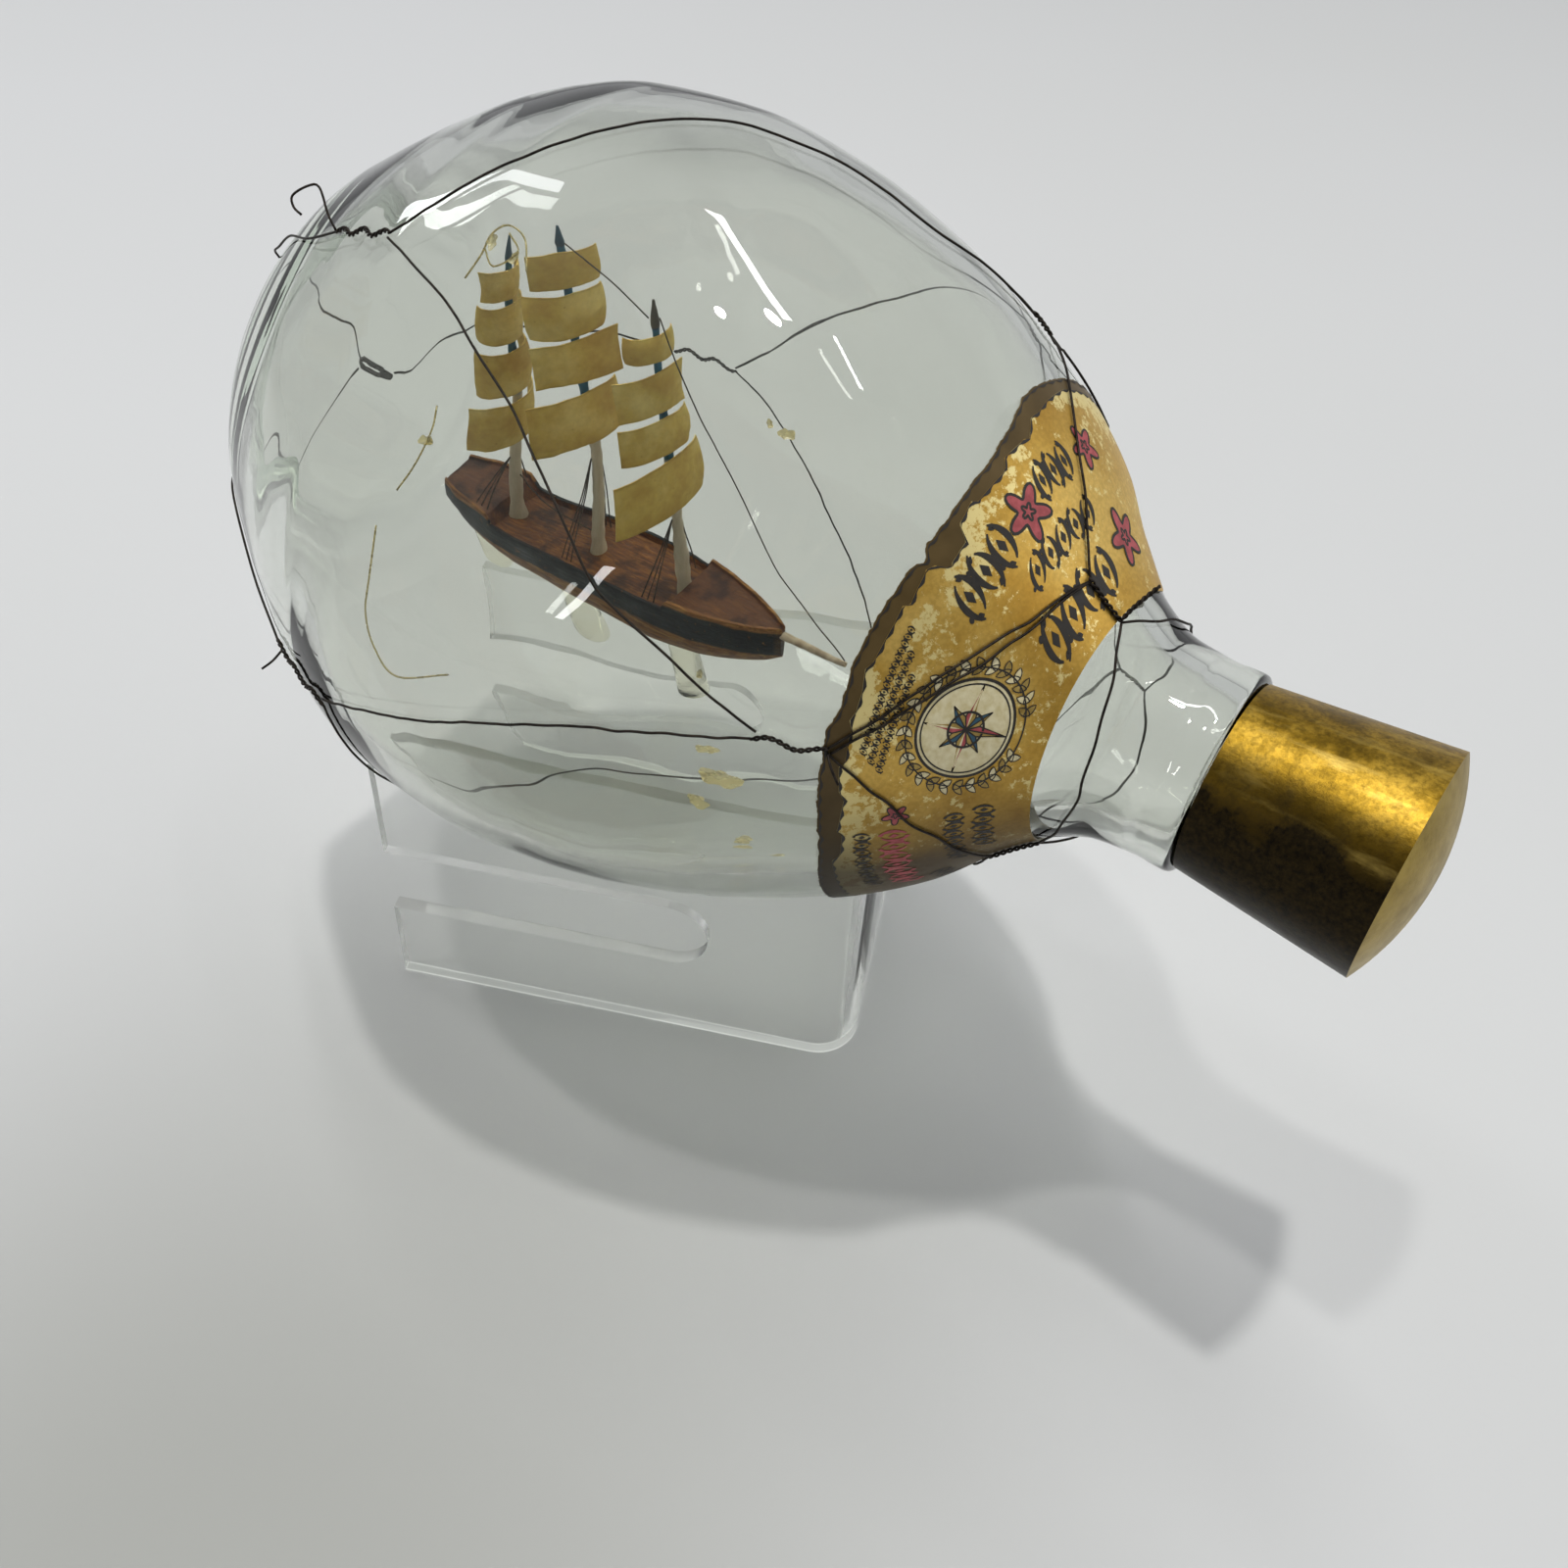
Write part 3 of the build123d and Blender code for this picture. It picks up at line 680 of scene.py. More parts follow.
def flourish(pr, at, length, height, unit, weight, ink="black"):
    """A row of lozenges between pairs of swelling scrolls, with dots between."""
    t = np.linspace(0, 1, 15)
    dot = np.linspace(0, 2 * np.pi, 10, endpoint=False)
    n = max(1, int(length / unit))
    for k in range(n):
        c, lean = (k + 0.5) * unit, 1 if k % 2 == 0 else -1
        pr.patch(ink, at, [(c - 0.17 * unit, 0), (c - 0.02 * unit, 0.20 * height),
                           (c + 0.17 * unit, 0), (c + 0.02 * unit, -0.20 * height)], 0.032, 2)
        for side in (-1, 1):
            x = c + side * unit * (0.10 + 0.30 * np.sin(np.pi * t) ** 0.7)
            y = height * (0.5 - t) + lean * side * 0.06 * height
            pr.ribbon(ink, at, np.stack([x, y], -1), weight * (0.3 + 0.9 * np.sin(np.pi * t)))
            hook = np.stack([c + side * unit * (0.10 + 0.16 * t),
                             side * lean * height * (0.5 - 0.10 * np.sin(np.pi * t))], -1)
            pr.ribbon(ink, at, hook, weight * (0.8 - 0.5 * t), 0.034)
        ring = around(dot) * weight * 0.5
        pr.patch(ink, at, ring + [(k + 1) * unit, lean * 0.30 * height], 0.036, 2)


def rosette(pr, at, size):
    """Five red petals with a dark outline."""
    th = np.linspace(0, 2 * np.pi, 60, endpoint=False)
    r = size * (0.72 + 0.28 * np.cos(5 * th))
    ring = r[:, None] * around(th)
    pr.patch("red", at, ring, 0.03)
    pr.ribbon("black", at, closed(ring), size * 0.1, 0.045)
    pr.ribbon("black", at, closed(ring) * 0.3, size * 0.09, 0.045)


def emblem(pr, at, size):
    """A plain compass rose in a wreath."""
    wreath = size * 0.76
    th = np.linspace(0, 2 * np.pi, 73)
    circle = around(th)
    pr.patch("cream", at, circle[:-1] * size * 0.62, 0.025, 6)
    for r, w in ((0.62, 0.035), (0.56, 0.02), (0.22, 0.03)):
        pr.ribbon("black", at, circle * size * r, size * w, 0.06)
    for k in range(8):
        ang = k * np.pi / 4
        long = 0.55 if k % 2 == 0 else 0.36
        tip = around(ang) * size * long
        for sgn, ink in ((1, "red" if k % 2 == 0 else "blue"), (-1, "gold")):
            pts = np.array([(0, 0), around(ang + sgn * np.pi / 8) * size * 0.17, tip])
            pr.patch(ink, at, pts, 0.04, 2)
            pr.ribbon("black", at, closed(pts), size * 0.018, 0.055)
    for k in range(26):
        ang = np.pi * 0.12 + k * (np.pi * 1.76) / 25 + np.pi / 2
        for off, lean in ((0.10, 0.9), (-0.06, -0.9)):
            foot = around(ang) * (wreath + off * size * 0.5)
            out = leaf(foot, size * 0.19, size * 0.045, ang + np.pi / 2 + lean)
            pr.patch("cream" if k % 2 else "gold", at, out, 0.03, 2)
            pr.ribbon("black", at, closed(out), size * 0.014, 0.05)
    pr.ribbon("black", at, circle[th > 0.1] * wreath, size * 0.02, 0.04)


def build_print():
    pr = Print()
    a = np.arange(47, 251, 0.8)
    jag = uneven(a * 0.31, 5, 0) * 0.35
    n = len(a)
    for start, width in ((jag * 0.9 + 0.22, 0.30), (along(BORDER, a), 0.34)):   # border lines
        x = along(TEAR, a) + start
        p = on_glass(x, a, INK_LIFT + 0.02)
        q = on_glass(x + width * (0.7 + 0.5 * np.sin(a * 1.7)), a, INK_LIFT + 0.02)
        pr.add("black", row(np.vstack([p, q])),
               [(i, i + 1, n + i + 1, n + i) for i in range(n - 1)])
    flourish(pr, (86, 154.9), 19.5, 6.6, 4.6, 0.95)
    rosette(pr, (72, 153.2), 4.4)
    flourish(pr, (84, 149.3), 20, 4.6, 3.4, 0.62)
    flourish(pr, (84, 143.9), 9.0, 5.2, 3.0, 0.70)
    rosette(pr, (76, 143.8), 3.4)
    flourish(pr, (111, 144.9), 13.5, 6.2, 4.2, 0.85)
    rosette(pr, (104, 145.0), 4.1)
    for x in (140.9, 142.0, 143.1):
        flourish(pr, (139 + (x - 141) * 4, x), 19 - (x - 141) * 1.6, 1.15, 1.0, 0.20)
    emblem(pr, (157, 150.4), 12.2)
    flourish(pr, (184, 154.6), 13, 3.2, 2.3, 0.42)
    flourish(pr, (186, 151.6), 15, 3.0, 2.1, 0.40)
    flourish(pr, (188, 145.8), 20, 4.0, 2.8, 0.55, "red")
    rosette(pr, (183, 145.8), 2.0)
    flourish(pr, (188, 142.4), 18, 2.4, 2.0, 0.34)
    flourish(pr, (219, 149.0), 15, 3.2, 2.6, 0.42)
    pr.finish({ink: plain_material("ink_" + ink, colour, dark, rough, 800, metallic)
               for ink, colour, dark, rough, metallic in INKS})


# ---- wire net ----
WIRE_R = 0.20
NECK_TIES = (100, 226, 344)
BELLY_TIES = ((57, 123.5, 128), (167, 128, 137), (290, 126, 131))
HEEL_TIES = ((119, 28, 43.5), (190, 42, 57.6), (355, 36, 50))


def lift_at(x, a):
    """Height of the wire's middle over the glass, more on the label."""
    over_label = (x > 130) & (a % 360 > 40) & (a % 360 < 262)
    return np.where(over_label, 0.72, 0.50)


def draped(stops, seed, wobble=0.22, extra=0.0):
    """Line of wire over the glass through (x, angle) stops, a little uneven."""
    fine = []
    for (x0, a0), (x1, a1) in zip(stops, stops[1:]):
        n = max(2, int(max(abs(x1 - x0) / 7, abs(a1 - a0) / 10)))
        fine += [(x0 + (x1 - x0) * i / n, a0 + (a1 - a0) * i / n) for i in range(n)]
    fine = np.array(fine + [stops[-1]], float)
    p = smooth_line(on_glass(fine[:, 0], fine[:, 1], 0.0), 0.7)
    x = p[:, 0]
    a = np.degrees(np.unwrap(np.arctan2(p[:, 2], p[:, 1])))
    a += 360 * np.round((fine[0, 1] - a[0]) / 360)
    i = np.arange(len(x))
    ends = np.clip(np.minimum(i, i[::-1]) / 5, 0, 1)
    slow_x, slow_a = uneven(i * 0.05, seed, 0), uneven(i * 0.05, seed, 7)
    fast = uneven(i * 0.21, seed, 3)
    radius = np.hypot(p[:, 1], p[:, 2])
    x = x + wobble * ends * (2 * slow_x + fast)
    a = a + np.degrees(wobble * ends * (2 * slow_a + fast) / radius)
    return on_glass(x, a, lift_at(x, a) + extra)


def twined(line, radius=0.22, pitch=2.2, start=0.0, fade=1.2):
    """Two wires wound round a line."""
    p = np.asarray(line, float)
    seg = np.linalg.norm(np.diff(p, axis=0), axis=1)
    s = np.concatenate([[0], np.cumsum(seg)])
    t = np.gradient(p, axis=0)
    t /= np.linalg.norm(t, axis=1)[:, None]
    up = p * [0, 1, 1]
    up -= t * (up * t).sum(1)[:, None]
    up /= np.maximum(np.linalg.norm(up, axis=1), 1e-9)[:, None]
    side = np.cross(t, up)
    th = start + 2 * np.pi * s / pitch
    close = radius * np.clip(np.minimum(s + 0.4, s[-1] - s + 0.4) / fade, 0.25, 1)
    return [p + close[:, None] * (np.cos(q)[:, None] * side + np.sin(q)[:, None] * up)
            for q in (th, th + np.pi)]


def build_wires():
    def piece(name, lines, node, radius=WIRE_R):
        v, f = joined([tube(q, radius, 8) for q in lines])
        make_piece(name, row(v), f, WIRE, "dark_wire", node)

    ring = []
    for i, n0 in enumerate(NECK_TIES):
        n1 = NECK_TIES[(i + 1) % 3] + (360 if i == 2 else 0)
        sag = ((159.9, 0), (163.2, 0.18), (164.9, 0.40), (165.3, 0.64), (163.0, 0.86), (159.9, 1))
        ring.append(draped([(x, n0 + f * (n1 - n0)) for x, f in sag], 40 + i, 0.10))
    piece("wire_ring", ring, "wire_neck_ring")
    upper = [
        draped([(154.2, 99.8), (151.9, 94.3), (147.9, 85.9), (142.7, 78), (134, 64.7),
                (128, 57.5)], 1, 0.1),
        draped([(153.9, 226), (146, 262), (132.2, 288), (131, 289.6)], 3),
        draped([(153.9, 344), (146, 318), (132.2, 292), (131, 290.4)], 4),
        draped([(153.9, 344), (145, 385), (131.6, 414.6), (128, 417)], 5),
        draped([(154.2, 100.4), (151.6, 122.6), (148.3, 137.4), (145.0, 148.4), (141.4, 158),
                (137.0, 166.2)], 6, 0.06),
        draped([(154.2, 100.8), (152.0, 124.8), (149.2, 139.4), (145.8, 150.2), (142.1, 159.2),
                (137.4, 167.2)], 7, 0.06, 0.05),
        draped([(137, 167.2), (140.6, 171.5), (145, 178.9), (149.9, 194.5), (152.6, 212),
                (154.2, 225.6)], 8, 0.08, 0.05),
    ]
    piece("wire_shoulder", upper, "wire_shoulder_strands")
    lower = [
        draped([(124, 57), (112.3, 73.1), (95, 77.9), (83, 83.1), (72.7, 91.7), (62.9, 100.9),
                (53.6, 110), (43.4, 118.5)], 11, 0.12),
        draped([(128.4, 166), (115.3, 158.4), (102.8, 153.2), (90.9, 144.1), (78.7, 135.2),
                (60.5, 125.4), (43.4, 119.4)], 12, 0.12),
        draped([(128, 167.4), (102, 174), (75, 183), (57.6, 189.4)], 13),
        draped([(126, 289.6), (112, 281), (74, 246), (60.5, 212), (57.6, 190.6)], 14),
        draped([(126, 290.4), (104, 310), (76, 330), (50, 354.6)], 15),
        draped([(123.5, 56.6), (100, 38), (74, 18), (50, -4.4)], 16),
    ]
    piece("wire_belly", lower, "wire_belly_strands")
    ties = []
    for k, n0 in enumerate(NECK_TIES):
        x = np.linspace(153.9, 159.9, 60)
        ties += twined(on_glass(x, np.full(60, float(n0)), lift_at(x, n0) + 0.12), start=k)
    for k, (a, x0, x1) in enumerate(BELLY_TIES + HEEL_TIES):
        x = np.linspace(x0, x1, int((x1 - x0) * 9))
        ties += twined(on_glass(x, a + 0.6 * np.sin(x), lift_at(x, a) + 0.12), start=k)
    knot = on_glass(28.0, 119, 0.9)                      # the loose hook, and three cut ends
    right, up = np.array([0.806, 0.589, 0.057]), np.array([-0.446, 0.541, 0.714])
    loop = [(0, 0), (-1.2, 2.4), (-2.6, 6.7), (-4.4, 6.9), (-6.8, 5.4), (-6.6, 3.6), (-5.4, 2.4)]
    ties.append(smooth_line([knot + r * right + u * up for r, u in loop], 0.4))
    tail = on_glass(159.6, 100, 1.0)
    ties += twined(smooth_line([tail, tail + [0.6, 2.4, 1.3], tail + [2.2, 6.0, 3.6]], 0.25),
                   0.20, 1.9)
    end = on_glass(43.5, 190.5, 0.9)
    ties.append(smooth_line([end, end + [-1.5, -1.0, -2.2], end + [-2.5, -2.6, -3.4]], 0.4))
    end = on_glass(137, 167, 1.1)
    ties.append(smooth_line([end, end + [1.6, -1.2, -1.0], end + [3.2, -1.6, -2.8]], 0.4))
    piece("wire_twists", ties, "wire_ties")
    star = []
    for a, x0, _ in HEEL_TIES:
        rim = on_glass(0, a, 0)
        pts = [on_glass(x0, a, 0.6), on_glass((x0 + 9) / 2, a + 1.2, 0.6),
               on_glass(9, a - 0.8, 0.8), on_glass(3.0, a, 1.0)]
        pts += [np.array([x, rim[1] * q, rim[2] * q]) for x, q in
                ((-0.55, 1.03), (-0.85, 0.96), (-0.9, 0.75), (-0.8, 0.5), (-0.9, 0.25),
                 (-0.85, 0.05))]
        star.append(smooth_line(pts, 0.6))
    piece("wire_star", star, "wire_base_star")
    curl = []
    for k in range(3):
        t = np.linspace(0, 2 * np.pi * 1.3, 50)
        curl.append(np.stack([-0.85 - 0.35 * np.sin(3 * t + k), 0.75 * np.cos(t + 2.1 * k),
                              0.75 * np.sin(t * 1.03 + 2.1 * k)], -1))
    piece("wire_knot", curl, "wire_base_knot", 0.24)


# ---- ship (u from the stern, v to port, w up from the keel) ----
SHIP_AT = (15.0, 10.6, -37.2)
ROLL = math.radians(5.5)
DECK, RAIL = 13.0, 14.0           # heights w amidships
SPAR_SIDES = 14
# station: u, half beam, bottom
HULL = [(0, 4.6, 9.0), (7, 6.3, 5.4), (17, 7.2, 1.9), (32, 7.6, 0.7), (50, 7.5, 0.4),
        (62, 6.5, 1.5), (72, 4.4, 3.9), (78, 2.4, 6.2), (81.5, 0.6, 8.8)]
# mast: u at the foot and at the top, height of the top, length of the tip
MASTS = {"mizzen": (15.9, 24.4, 75.0, 5.8), "main": (37.5, 35.7, 79.5, 3.6),
         "fore": (57.3, 54.4, 72.1, 4.8)}
SAIL_T, THREAD_R = 0.24, 0.13
SAIL_NAMES = ("royal", "topgallant", "topsail", "course")
# sail: w of its lower and upper edge, (u, v) of its starboard and port edge from the mast
SAILS = {
    "mizzen": [(61.9, 68.4, (-3.4, -4.4), (-2.6, 4.0)), (52.9, 60.6, (-4.9, -5.0), (-3.4, 4.8)),
               (41.6, 51.0, (-4.9, -5.9), (-3.8, 5.6)), (30.0, 39.8, (-5.4, -7.1), (-4.0, 6.8))],
    "main": [(68.9, 75.4, (-2.7, -5.2), (2.2, 5.0)), (59.8, 67.8, (-4.2, -6.1), (2.0, 5.4)),
             (50.6, 59.2, (-3.6, -7.4), (2.8, 7.2)), (38.2, 48.4, (-3.0, -11.0), (1.2, 7.4))],
    "fore": [(61.9, 66.6, (-3.6, -4.6), (0.8, 3.6)), (52.4, 60.2, (-3.4, -8.5), (0.9, 4.6)),
             (43.6, 51.0, (-3.2, -9.4), (0.9, 5.6)), (31.6, 42.4, (-1.6, -13.2), (0.4, 8.0))],
}


def ship(points):
    """Points of the ship's own frame in the bottle frame."""
    u, v, w = np.moveaxis(np.asarray(points, float), -1, 0)
    c, d = math.cos(ROLL), math.sin(ROLL)
    return np.stack([SHIP_AT[0] + u, SHIP_AT[1] + v * c - w * d, SHIP_AT[2] + v * d + w * c], -1)


def mast_u(name, w):
    foot, top, top_w, _ = MASTS[name]
    return foot + (top - foot) * (w - DECK) / (top_w - DECK)


def mast_radius(name, w):
    return 1.3 - 0.75 * (w - DECK) / (MASTS[name][2] - DECK)


def ship_tube(line, radius):
    v, f = tube(line, radius, SPAR_SIDES)
    return row(ship(v)), f


def build_hull():
    """Rings of points round the section, from the deck's middle over the rail to the keel."""
    us, beams, keels = np.array(HULL, float).T
    u = np.concatenate([np.arange(0, 80, 0.5), [80, 80.6, 81.1, 81.5]])
    beam, keel = (profile(list(zip(us, q)), u) for q in (beams, keels))
    high = np.clip(np.maximum((15.2 - u) / 1.4, (u - 57.2) / 1.4), 0, 1)
    high = high * high * (3 - 2 * high)
    top, deck = RAIL + 2.0 * high, DECK + 2.5 * high
    rows, hgt, part = [], [], []
    for q, b, k, t, d in zip(u, beam, keel, top, deck):
        side = smooth_line([(b, t), (b, t - 1.5), (b * 0.99, 12.0), (b * 0.86, k + (16 - k) * 0.32),
                            (b * 0.45, k + (16 - k) * 0.07), (0, k)], 0.55)
        s = np.linspace(0, 1, len(side))
        half = np.stack([np.interp(np.linspace(0, 1, 26), s, q) for q in side.T], -1)
        wall = min(0.7, b * 0.4)
        lip = [(b - 0.08, t + 0.12), (b - wall + 0.1, t + 0.12), (b - wall, t - 0.05)]
        inner = [(b - wall - 0.05, (t + d) / 2), (b - wall - 0.1, d + 0.1), (b - wall - 0.3, d)]
        flat = [((b - wall - 0.3) * g, d + 0.12 * (1 - g * g)) for g in (0.8, 0.6, 0.4, 0.2)]
        port = [(0, d + 0.12)] + flat[::-1] + inner[::-1] + lip[::-1] + [tuple(p) for p in half]
        ring = port + [(-x, y) for x, y in port[-2:0:-1]]
        rows.append([(q, x, y) for x, y in ring])
        hgt.append([y for _, y in ring])
        n_in = 1 + len(flat) + len(inner) + 1
        flag = [1.0] * n_in + [0.0] * (len(port) - n_in)
        part.append(flag + flag[-2:0:-1])
    p = np.array(rows)
    carve = uneven(*np.moveaxis(p * [0.35, 0.8, 0.8], -1, 0))
    fine = uneven(*np.moveaxis(p * [1.1, 2.2, 2.2], -1, 0))
    p[..., 1] *= 1 - 0.018 * np.abs(carve)
    p[..., 2] -= 0.10 * np.array(part) * (np.abs(carve) + 0.5 * np.abs(fine))
    n, m = p.shape[:2]
    obj = make_piece("hull", row(ship(p).reshape(-1, 3)), with_ends(n, m), HULL_WOOD,
                     "hull_wood", "hull", 48)
    store(obj, "deck", part)
    store(obj, "height", hgt)
    store(obj, "length", np.repeat(u, m))


def build_masts():
    for name, (foot, top, top_w, tip) in MASTS.items():
        neck = top_w - tip
        w = np.concatenate([np.linspace(12.2, neck, 60), np.linspace(neck + 0.05, top_w, 9)])
        r = mast_radius(name, w) * (1 + 0.05 * np.sin(w * 1.9) + 0.03 * np.sin(w * 4.7))
        r[60:] = np.interp(w[60:], [w[60], w[61], w[62], top_w],
                           [r[59], r[59] + 0.14, r[59] + 0.18, 0.2])
        r[:3] *= (1.35, 1.25, 1.1)
        line = np.stack([mast_u(name, w), 0.06 * np.sin(w * 0.6 + foot), w], -1)
        obj = make_piece(name + "_mast_pole", *ship_tube(line, r), MAST, "pale_wood",
                         name + "_mast", 60)
        store(obj, "height", np.repeat(w, SPAR_SIDES))
        in_tip = np.clip((w - neck) / 0.2, 0, 1) * (2 if name == "fore" else 1)
        store(obj, "tip", np.repeat(in_tip, SPAR_SIDES))
    u = np.linspace(73.6, 95.4, 40)
    w = 14.0 + 0.6 * (u - 74) / 21.5
    r = np.interp(u, [73.6, 80, 95.4], [0.95, 0.82, 0.48]) * (1 + 0.05 * np.sin(u * 2.3))
    line = np.stack([u, 0 * u, w], -1)
    make_piece("bowsprit_spar", *ship_tube(line, r), PALE, "pale_wood", "bowsprit", 60)


def arc_through(a, m, b, t):
    """Points of the circle through a, m, b (2-D) and the outward directions."""
    (ax, ay), (mx, my), (bx, by) = a, m, b
    d = 2 * (ax * (my - by) + mx * (by - ay) + bx * (ay - my))
    cx = ((ax ** 2 + ay ** 2) * (my - by) + (mx ** 2 + my ** 2) * (by - ay)
          + (bx ** 2 + by ** 2) * (ay - my)) / d
    cy = ((ax ** 2 + ay ** 2) * (bx - mx) + (mx ** 2 + my ** 2) * (ax - bx)
          + (bx ** 2 + by ** 2) * (mx - ax)) / d
    r = math.hypot(ax - cx, ay - cy)
    th = np.unwrap([math.atan2(y - cy, x - cx) for x, y in (a, m, b)])
    out = around(np.interp(t, [0, 0.5, 1], th))
    return np.array([cx, cy]) + r * out, out


def build_sails():
    t, h = np.linspace(0, 1, 37), np.linspace(0, 1, 17)
    n, m = len(h), len(t)
    for k, (mast, sails) in enumerate(SAILS.items()):
        for s, (name, (low, high, stb, prt)) in enumerate(zip(SAIL_NAMES, sails)):
            p = np.zeros((2, n, m, 3))
            front = mast_radius(mast, low) + 0.12
            seed = 10 * k + s
            arc, out = arc_through(stb, (front, 0), prt, t)
            for i, g in enumerate(h):
                edge = uneven(t * 2.2, g * 1.3, seed)
                crisp = uneven(t * 7, g * 5, seed + 50)
                corner = np.abs(2 * t - 1) ** 6 * (2 * g - 1) ** 2
                belly = 0.3 * math.sin(math.pi * g) * np.sin(np.pi * t) ** 0.7
                w = low + (high - low) * g + 0.35 * edge * (2 * g - 1) ** 2
                u0 = mast_u(mast, w)
                base = arc + out * (belly + 0.5 * edge * np.abs(2 * t - 1) + 0.10 * crisp
                                    - 0.5 * corner * (1 if seed % 3 else -0.6))[:, None]
                for side in (0, 1):
                    q = base + out * SAIL_T * side
                    p[side, i] = np.stack([u0 + q[:, 0], q[:, 1], w], -1)
            faces = np.vstack([grid_faces(n, m), grid_faces(n, m, start=n * m)[:, ::-1],
                               sheet_rim(n, m, True)])
            obj = make_piece(f"sail_{mast}_{name}", row(ship(p.reshape(-1, 3))), faces, PAPER,
                             "sail_paper", f"{mast}_{name}", 50)
            store(obj, "rim", np.tile(np.repeat(np.minimum(h, 1 - h), m), 2))


def build_threads():
    stays = [[(mast_u("main", 77) + 1.0, 0, 76.8), (mast_u("main", 77) + 9.5, 0.1, 72.5),
              (mast_u("fore", 72) - 1.2, 0, 68.6)],
             [(mast_u("fore", 70) + 1.1, 0, 69.5), (60.5, 0, 60), (66, 0, 50), (72.3, 0, 39.6),
              (78, 0, 30), (86.5, 0, 22.3), (95.0, 0, 15.4)],
             [(mast_u("mizzen", 19) + 1.5, 0, 22), (23, 0.2, 18.8),
              (mast_u("main", 18) - 1.5, 0, 17)]]
    shrouds = []
    for mast, top in (("mizzen", 26), ("main", 34), ("fore", 29)):
        u0 = mast_u(mast, top)
        foot = MASTS[mast][0]
        deck = 16.0 if mast == "mizzen" else 13.2
        for side in (-1, 1):
            for back, sag in ((2.2, 0.0), (3.6, 0.15), (5.0, 0.1)):
                a = np.array((u0 - 0.3, side * 1.2, top))
                b = np.array((foot - back, side * 5.6, deck))
                shrouds.append([a, (a + b) / 2 + [0, 0, -sag], b])
    for name, lines, node in (("stays", stays, "stay_threads"),
                              ("shrouds", shrouds, "shroud_threads")):
        v, f = joined([tube(ship(smooth_line(q, 0.8)), THREAD_R, 7) for q in lines])
        make_piece(name, row(v), f, THREAD, "thread", node)


GLUE_R = 0.14


def build_glue():
    """Loose strings and spots of dried glue inside the glass."""
    def inside(x, a, lift=0.25):
        return at_angle(x, shaped(x, profile(INNER, x), a) - lift, a)

    lines = [[(63, 161), (65, 168), (66, 173), (69, 177), (74, 179), (83, 175)],
             [(60, 120), (61, 116), (61, 113), (63, 111), (67, 112), (70, 116)],
             [(61, 115), (64, 117), (67, 114), (64, 112)],
             [(64, 140), (65, 144), (65, 150), (64, 155)]]
    parts = [tube(smooth_line(inside(*np.array(q, float).T), 0.6), GLUE_R, 6) for q in lines]
    th = np.linspace(0, 2 * np.pi, 18, endpoint=False)
    n = len(th)
    for x, a, size in ((95, 262, 3.2), (97, 251, 2.2), (111, 243, 1.8), (113, 239, 1.3),
                       (88, 268, 2.0), (62, 114, 1.0), (67, 115, 0.8), (121, 236, 1.0),
                       (113, 120, 0.5), (115.5, 120, 0.9), (118, 161, 0.5), (65, 146, 1.1)):
        rim = 1 + 0.3 * np.sin(2 * th + x) + 0.15 * np.sin(5 * th + a)
        rad = float(profile(INNER, x))
        v = [inside(x, a, 0.45)[None]]
        for q, up in ((0.55, 0.38), (1.0, 0.05)):
            v.append(inside(x + size * q * rim * np.cos(th),
                            a + np.degrees(size * q * rim * np.sin(th) / rad), up))
        f = [(0, 1 + i, 1 + (i + 1) % n) for i in range(n)]
        f += [(1 + i, 1 + n + i, 1 + n + (i + 1) % n, 1 + (i + 1) % n) for i in range(n)]
        parts.append((np.vstack(v), f))
    v, f = joined(parts)
    make_piece("glue_drips", row(v), f, GLUE, "glue")


build_label()
build_print()
build_wires()
build_hull()
build_masts()
build_sails()
build_threads()
build_glue()


def paint(material, *nodes):
    for n in nodes:
        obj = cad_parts[n]
        if not obj.material_slots:
            obj.data.materials.append(material)
        for s in obj.material_slots:
            s.material = material


paint(PLASTIC, "display_stand")
paint(BRASS, "brass_cap")
paint(SLEEVE, "cap_thread_sleeve")
paint(LINER, "cap_liner")
paint(RESIN, "glue_posts")


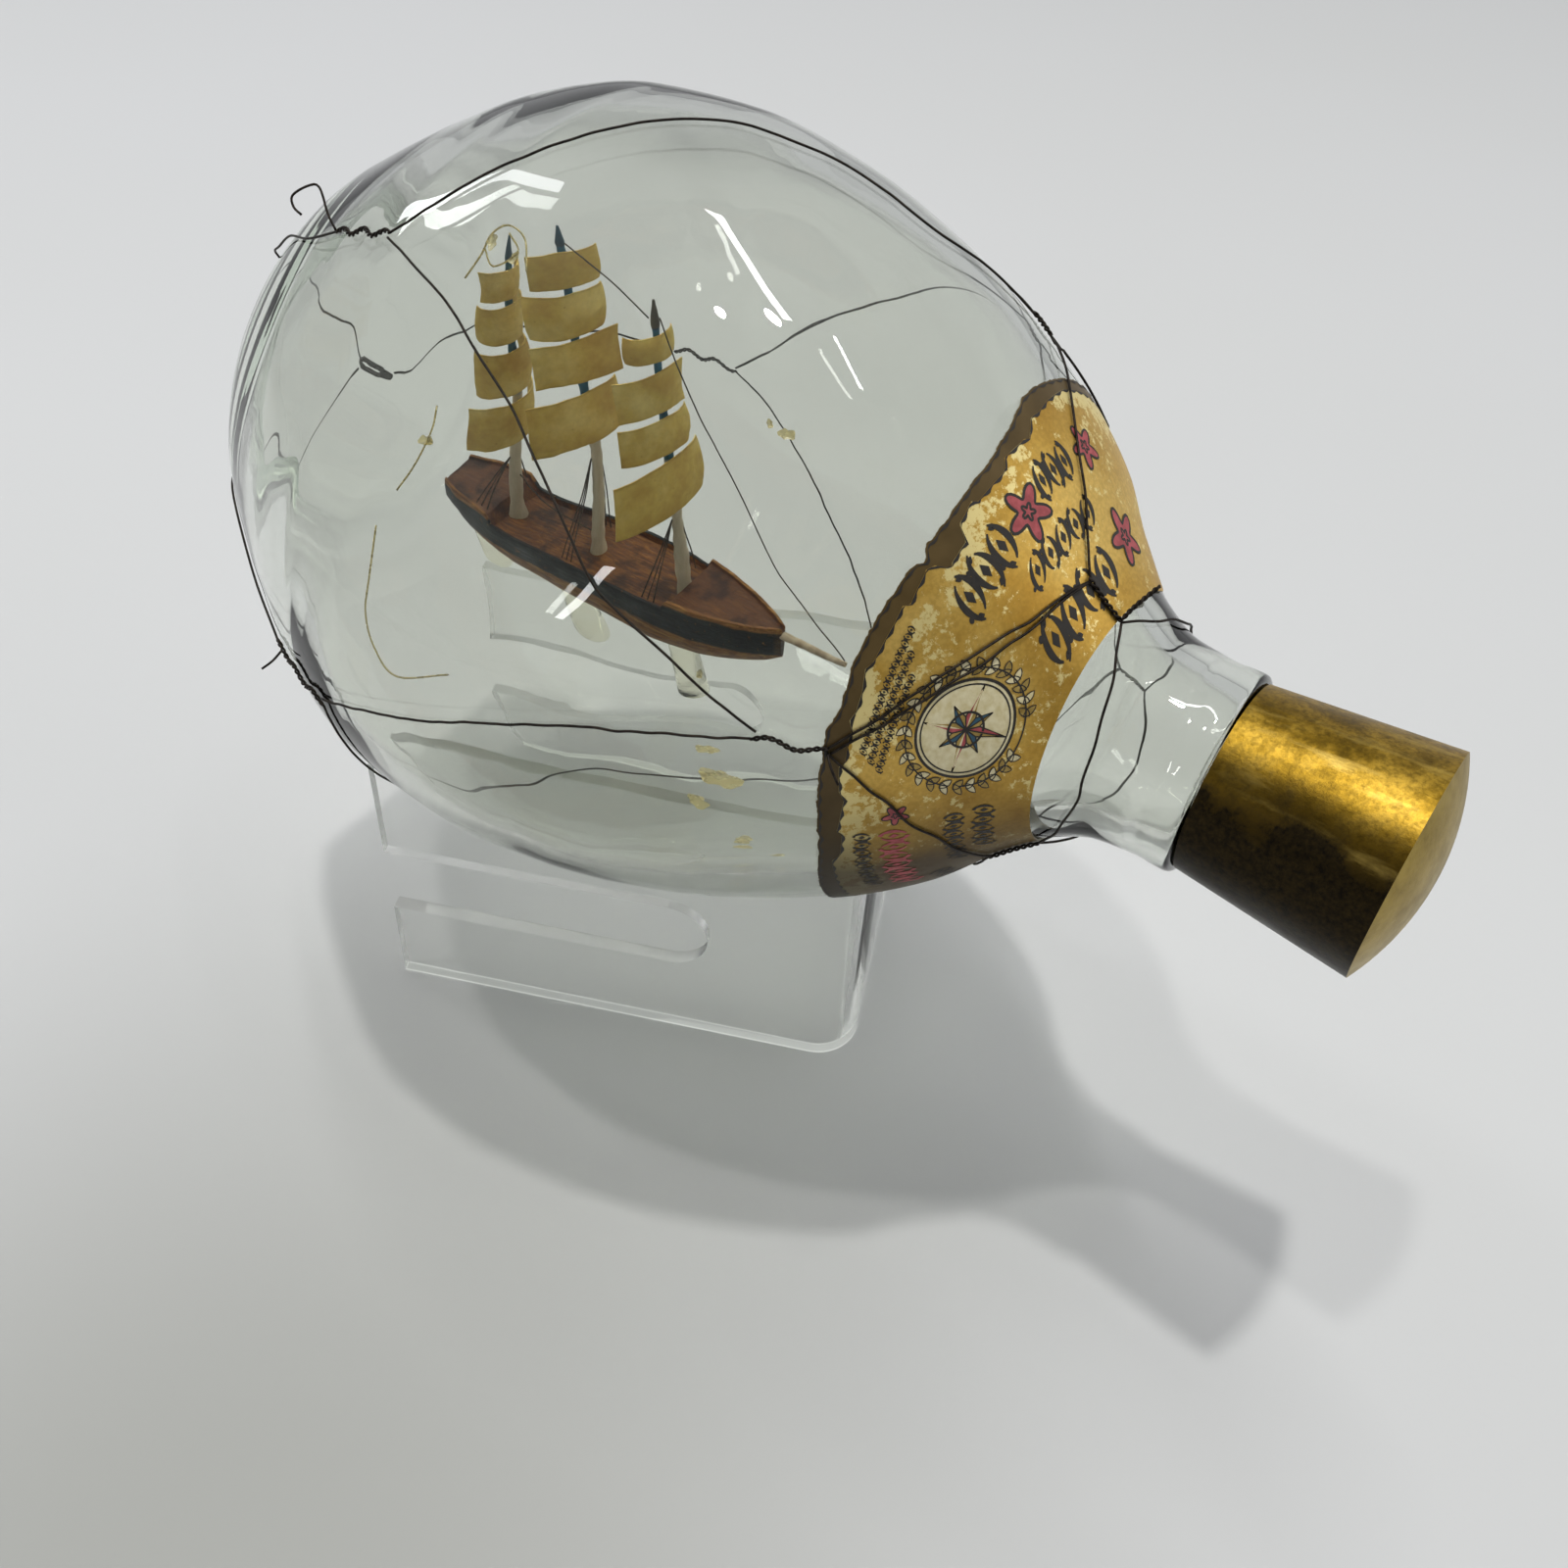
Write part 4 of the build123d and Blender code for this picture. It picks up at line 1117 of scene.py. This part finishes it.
# ---- floor, light, camera ----
def build_set():
    m = Material("floor")
    pale = m.mix(m.noise(1.6, 3), "d5d6d4", "dcdde0")
    # Painted shadow: the floor colour turns darker round a point just in front of the bottle, a
    # soft shadow painted into it.
    off = m.vector_math("DISTANCE", "Value", m.point, (0.01, -0.16, 0))
    near = m.span(off, 0.21, 0.02, kind="SMOOTHSTEP")
    m.base(Base_Color=m.mix(near, pale, "acada9"), Roughness=0.45, Specular_IOR_Level=0.3)
    s = 4.0
    floor = make_piece("floor", [(-s, -s, 0), (s, -s, 0), (s, s, 0), (-s, s, 0)],
                       [(0, 1, 2, 3)], m.mat)
    world = bpy.data.worlds.new("room")
    bpy.context.scene.world = world
    world.use_nodes = True
    w = Nodes(world.node_tree)
    sky = w.coord["Generated"]
    across = w.vector_math("DOT_PRODUCT", "Value", sky, (-0.30, 0.85, 0.43))
    bright = w.span(across, -0.3, 0.65, (0.10, 0.56))
    wall = w.span(w.axis("Z", sky), 0.10, 0.42, (0.36, 0.0))
    background = w.tree.nodes["Background"]
    w.set(background.inputs["Color"], (0.965, 0.98, 1.0))
    w.set(background.inputs["Strength"], w.math("MAXIMUM", bright, wall))

    def lamp(name, toward, distance, size, watts, colour=(1, 1, 1), along=None):
        """A lamp in direction toward from the bottle; size is (length, width).  It is
        round, or with along a rectangle whose length runs that way."""
        data = bpy.data.lights.new(name, "AREA")
        data.energy, data.color = watts, colour
        data.shape = "RECTANGLE" if along else "DISK"
        data.size, data.size_y = size
        obj = new_object(name, data)
        z = Vector(toward).normalized()
        x = Vector(along or (1, 0, 0))
        x = (x - z * x.dot(z)).normalized()
        m = Matrix((x, z.cross(x), z)).transposed().to_4x4()
        m.translation = Vector((0.03, 0, 0.115)) + z * distance
        obj.matrix_world = m

    lamp("lamp_over", (-0.035, -0.026, 1), 2.1, (0.09, 0.09), 13.5, (1, 0.99, 0.96))
    lamp("lamp_side", (-0.183, -0.218, 1), 2.1, (0.09, 0.09), 6.5, (1, 0.99, 0.96))
    lamp("strip_over", (-0.18, 0.14, 1), 1.5, (0.62, 0.05), 2.4, along=(-0.8, 0.56, 0))
    lamp("strip_right", (0.22, 0.10, 1), 1.5, (0.24, 0.02), 0.5, along=(-0.8, 0.56, 0))
    lamp("window", (-0.85, 0.02, 0.52), 1.6, (0.12, 0.8), 2.4, (0.96, 0.98, 1.0), (0, 1, 0))
    lamp("right_soft", (0.85, 0.45, 0.45), 1.7, (1.2, 0.8), 5.0, (1, 0.99, 0.97), (0.5, -0.85, 0))
    lamp("front_strip", (-0.27, -0.85, 0.42), 1.5, (0.30, 0.05), 0.7, along=(0, 0, 1))


CAMERA_AT = (0.10980, -0.16864, 0.26472)
CAMERA_RIGHT = Vector((0.80579, 0.58948, 0.05676))
CAMERA_UP = Vector((-0.44572, 0.54057, 0.71353))


def build_camera():
    data = bpy.data.cameras.new("camera")
    data.lens, data.sensor_width, data.clip_start = 34.67, 36.0, 0.01
    cam = new_object("camera", data)
    back = CAMERA_RIGHT.cross(CAMERA_UP).normalized()
    up = back.cross(CAMERA_RIGHT)
    turn = Matrix((CAMERA_RIGHT.normalized(), up.normalized(), back)).transposed()
    cam.matrix_world = Matrix.Translation(CAMERA_AT) @ turn.to_4x4()
    bpy.context.scene.camera = cam
    bpy.context.scene.view_settings.view_transform = "Standard"


build_set()
build_camera()
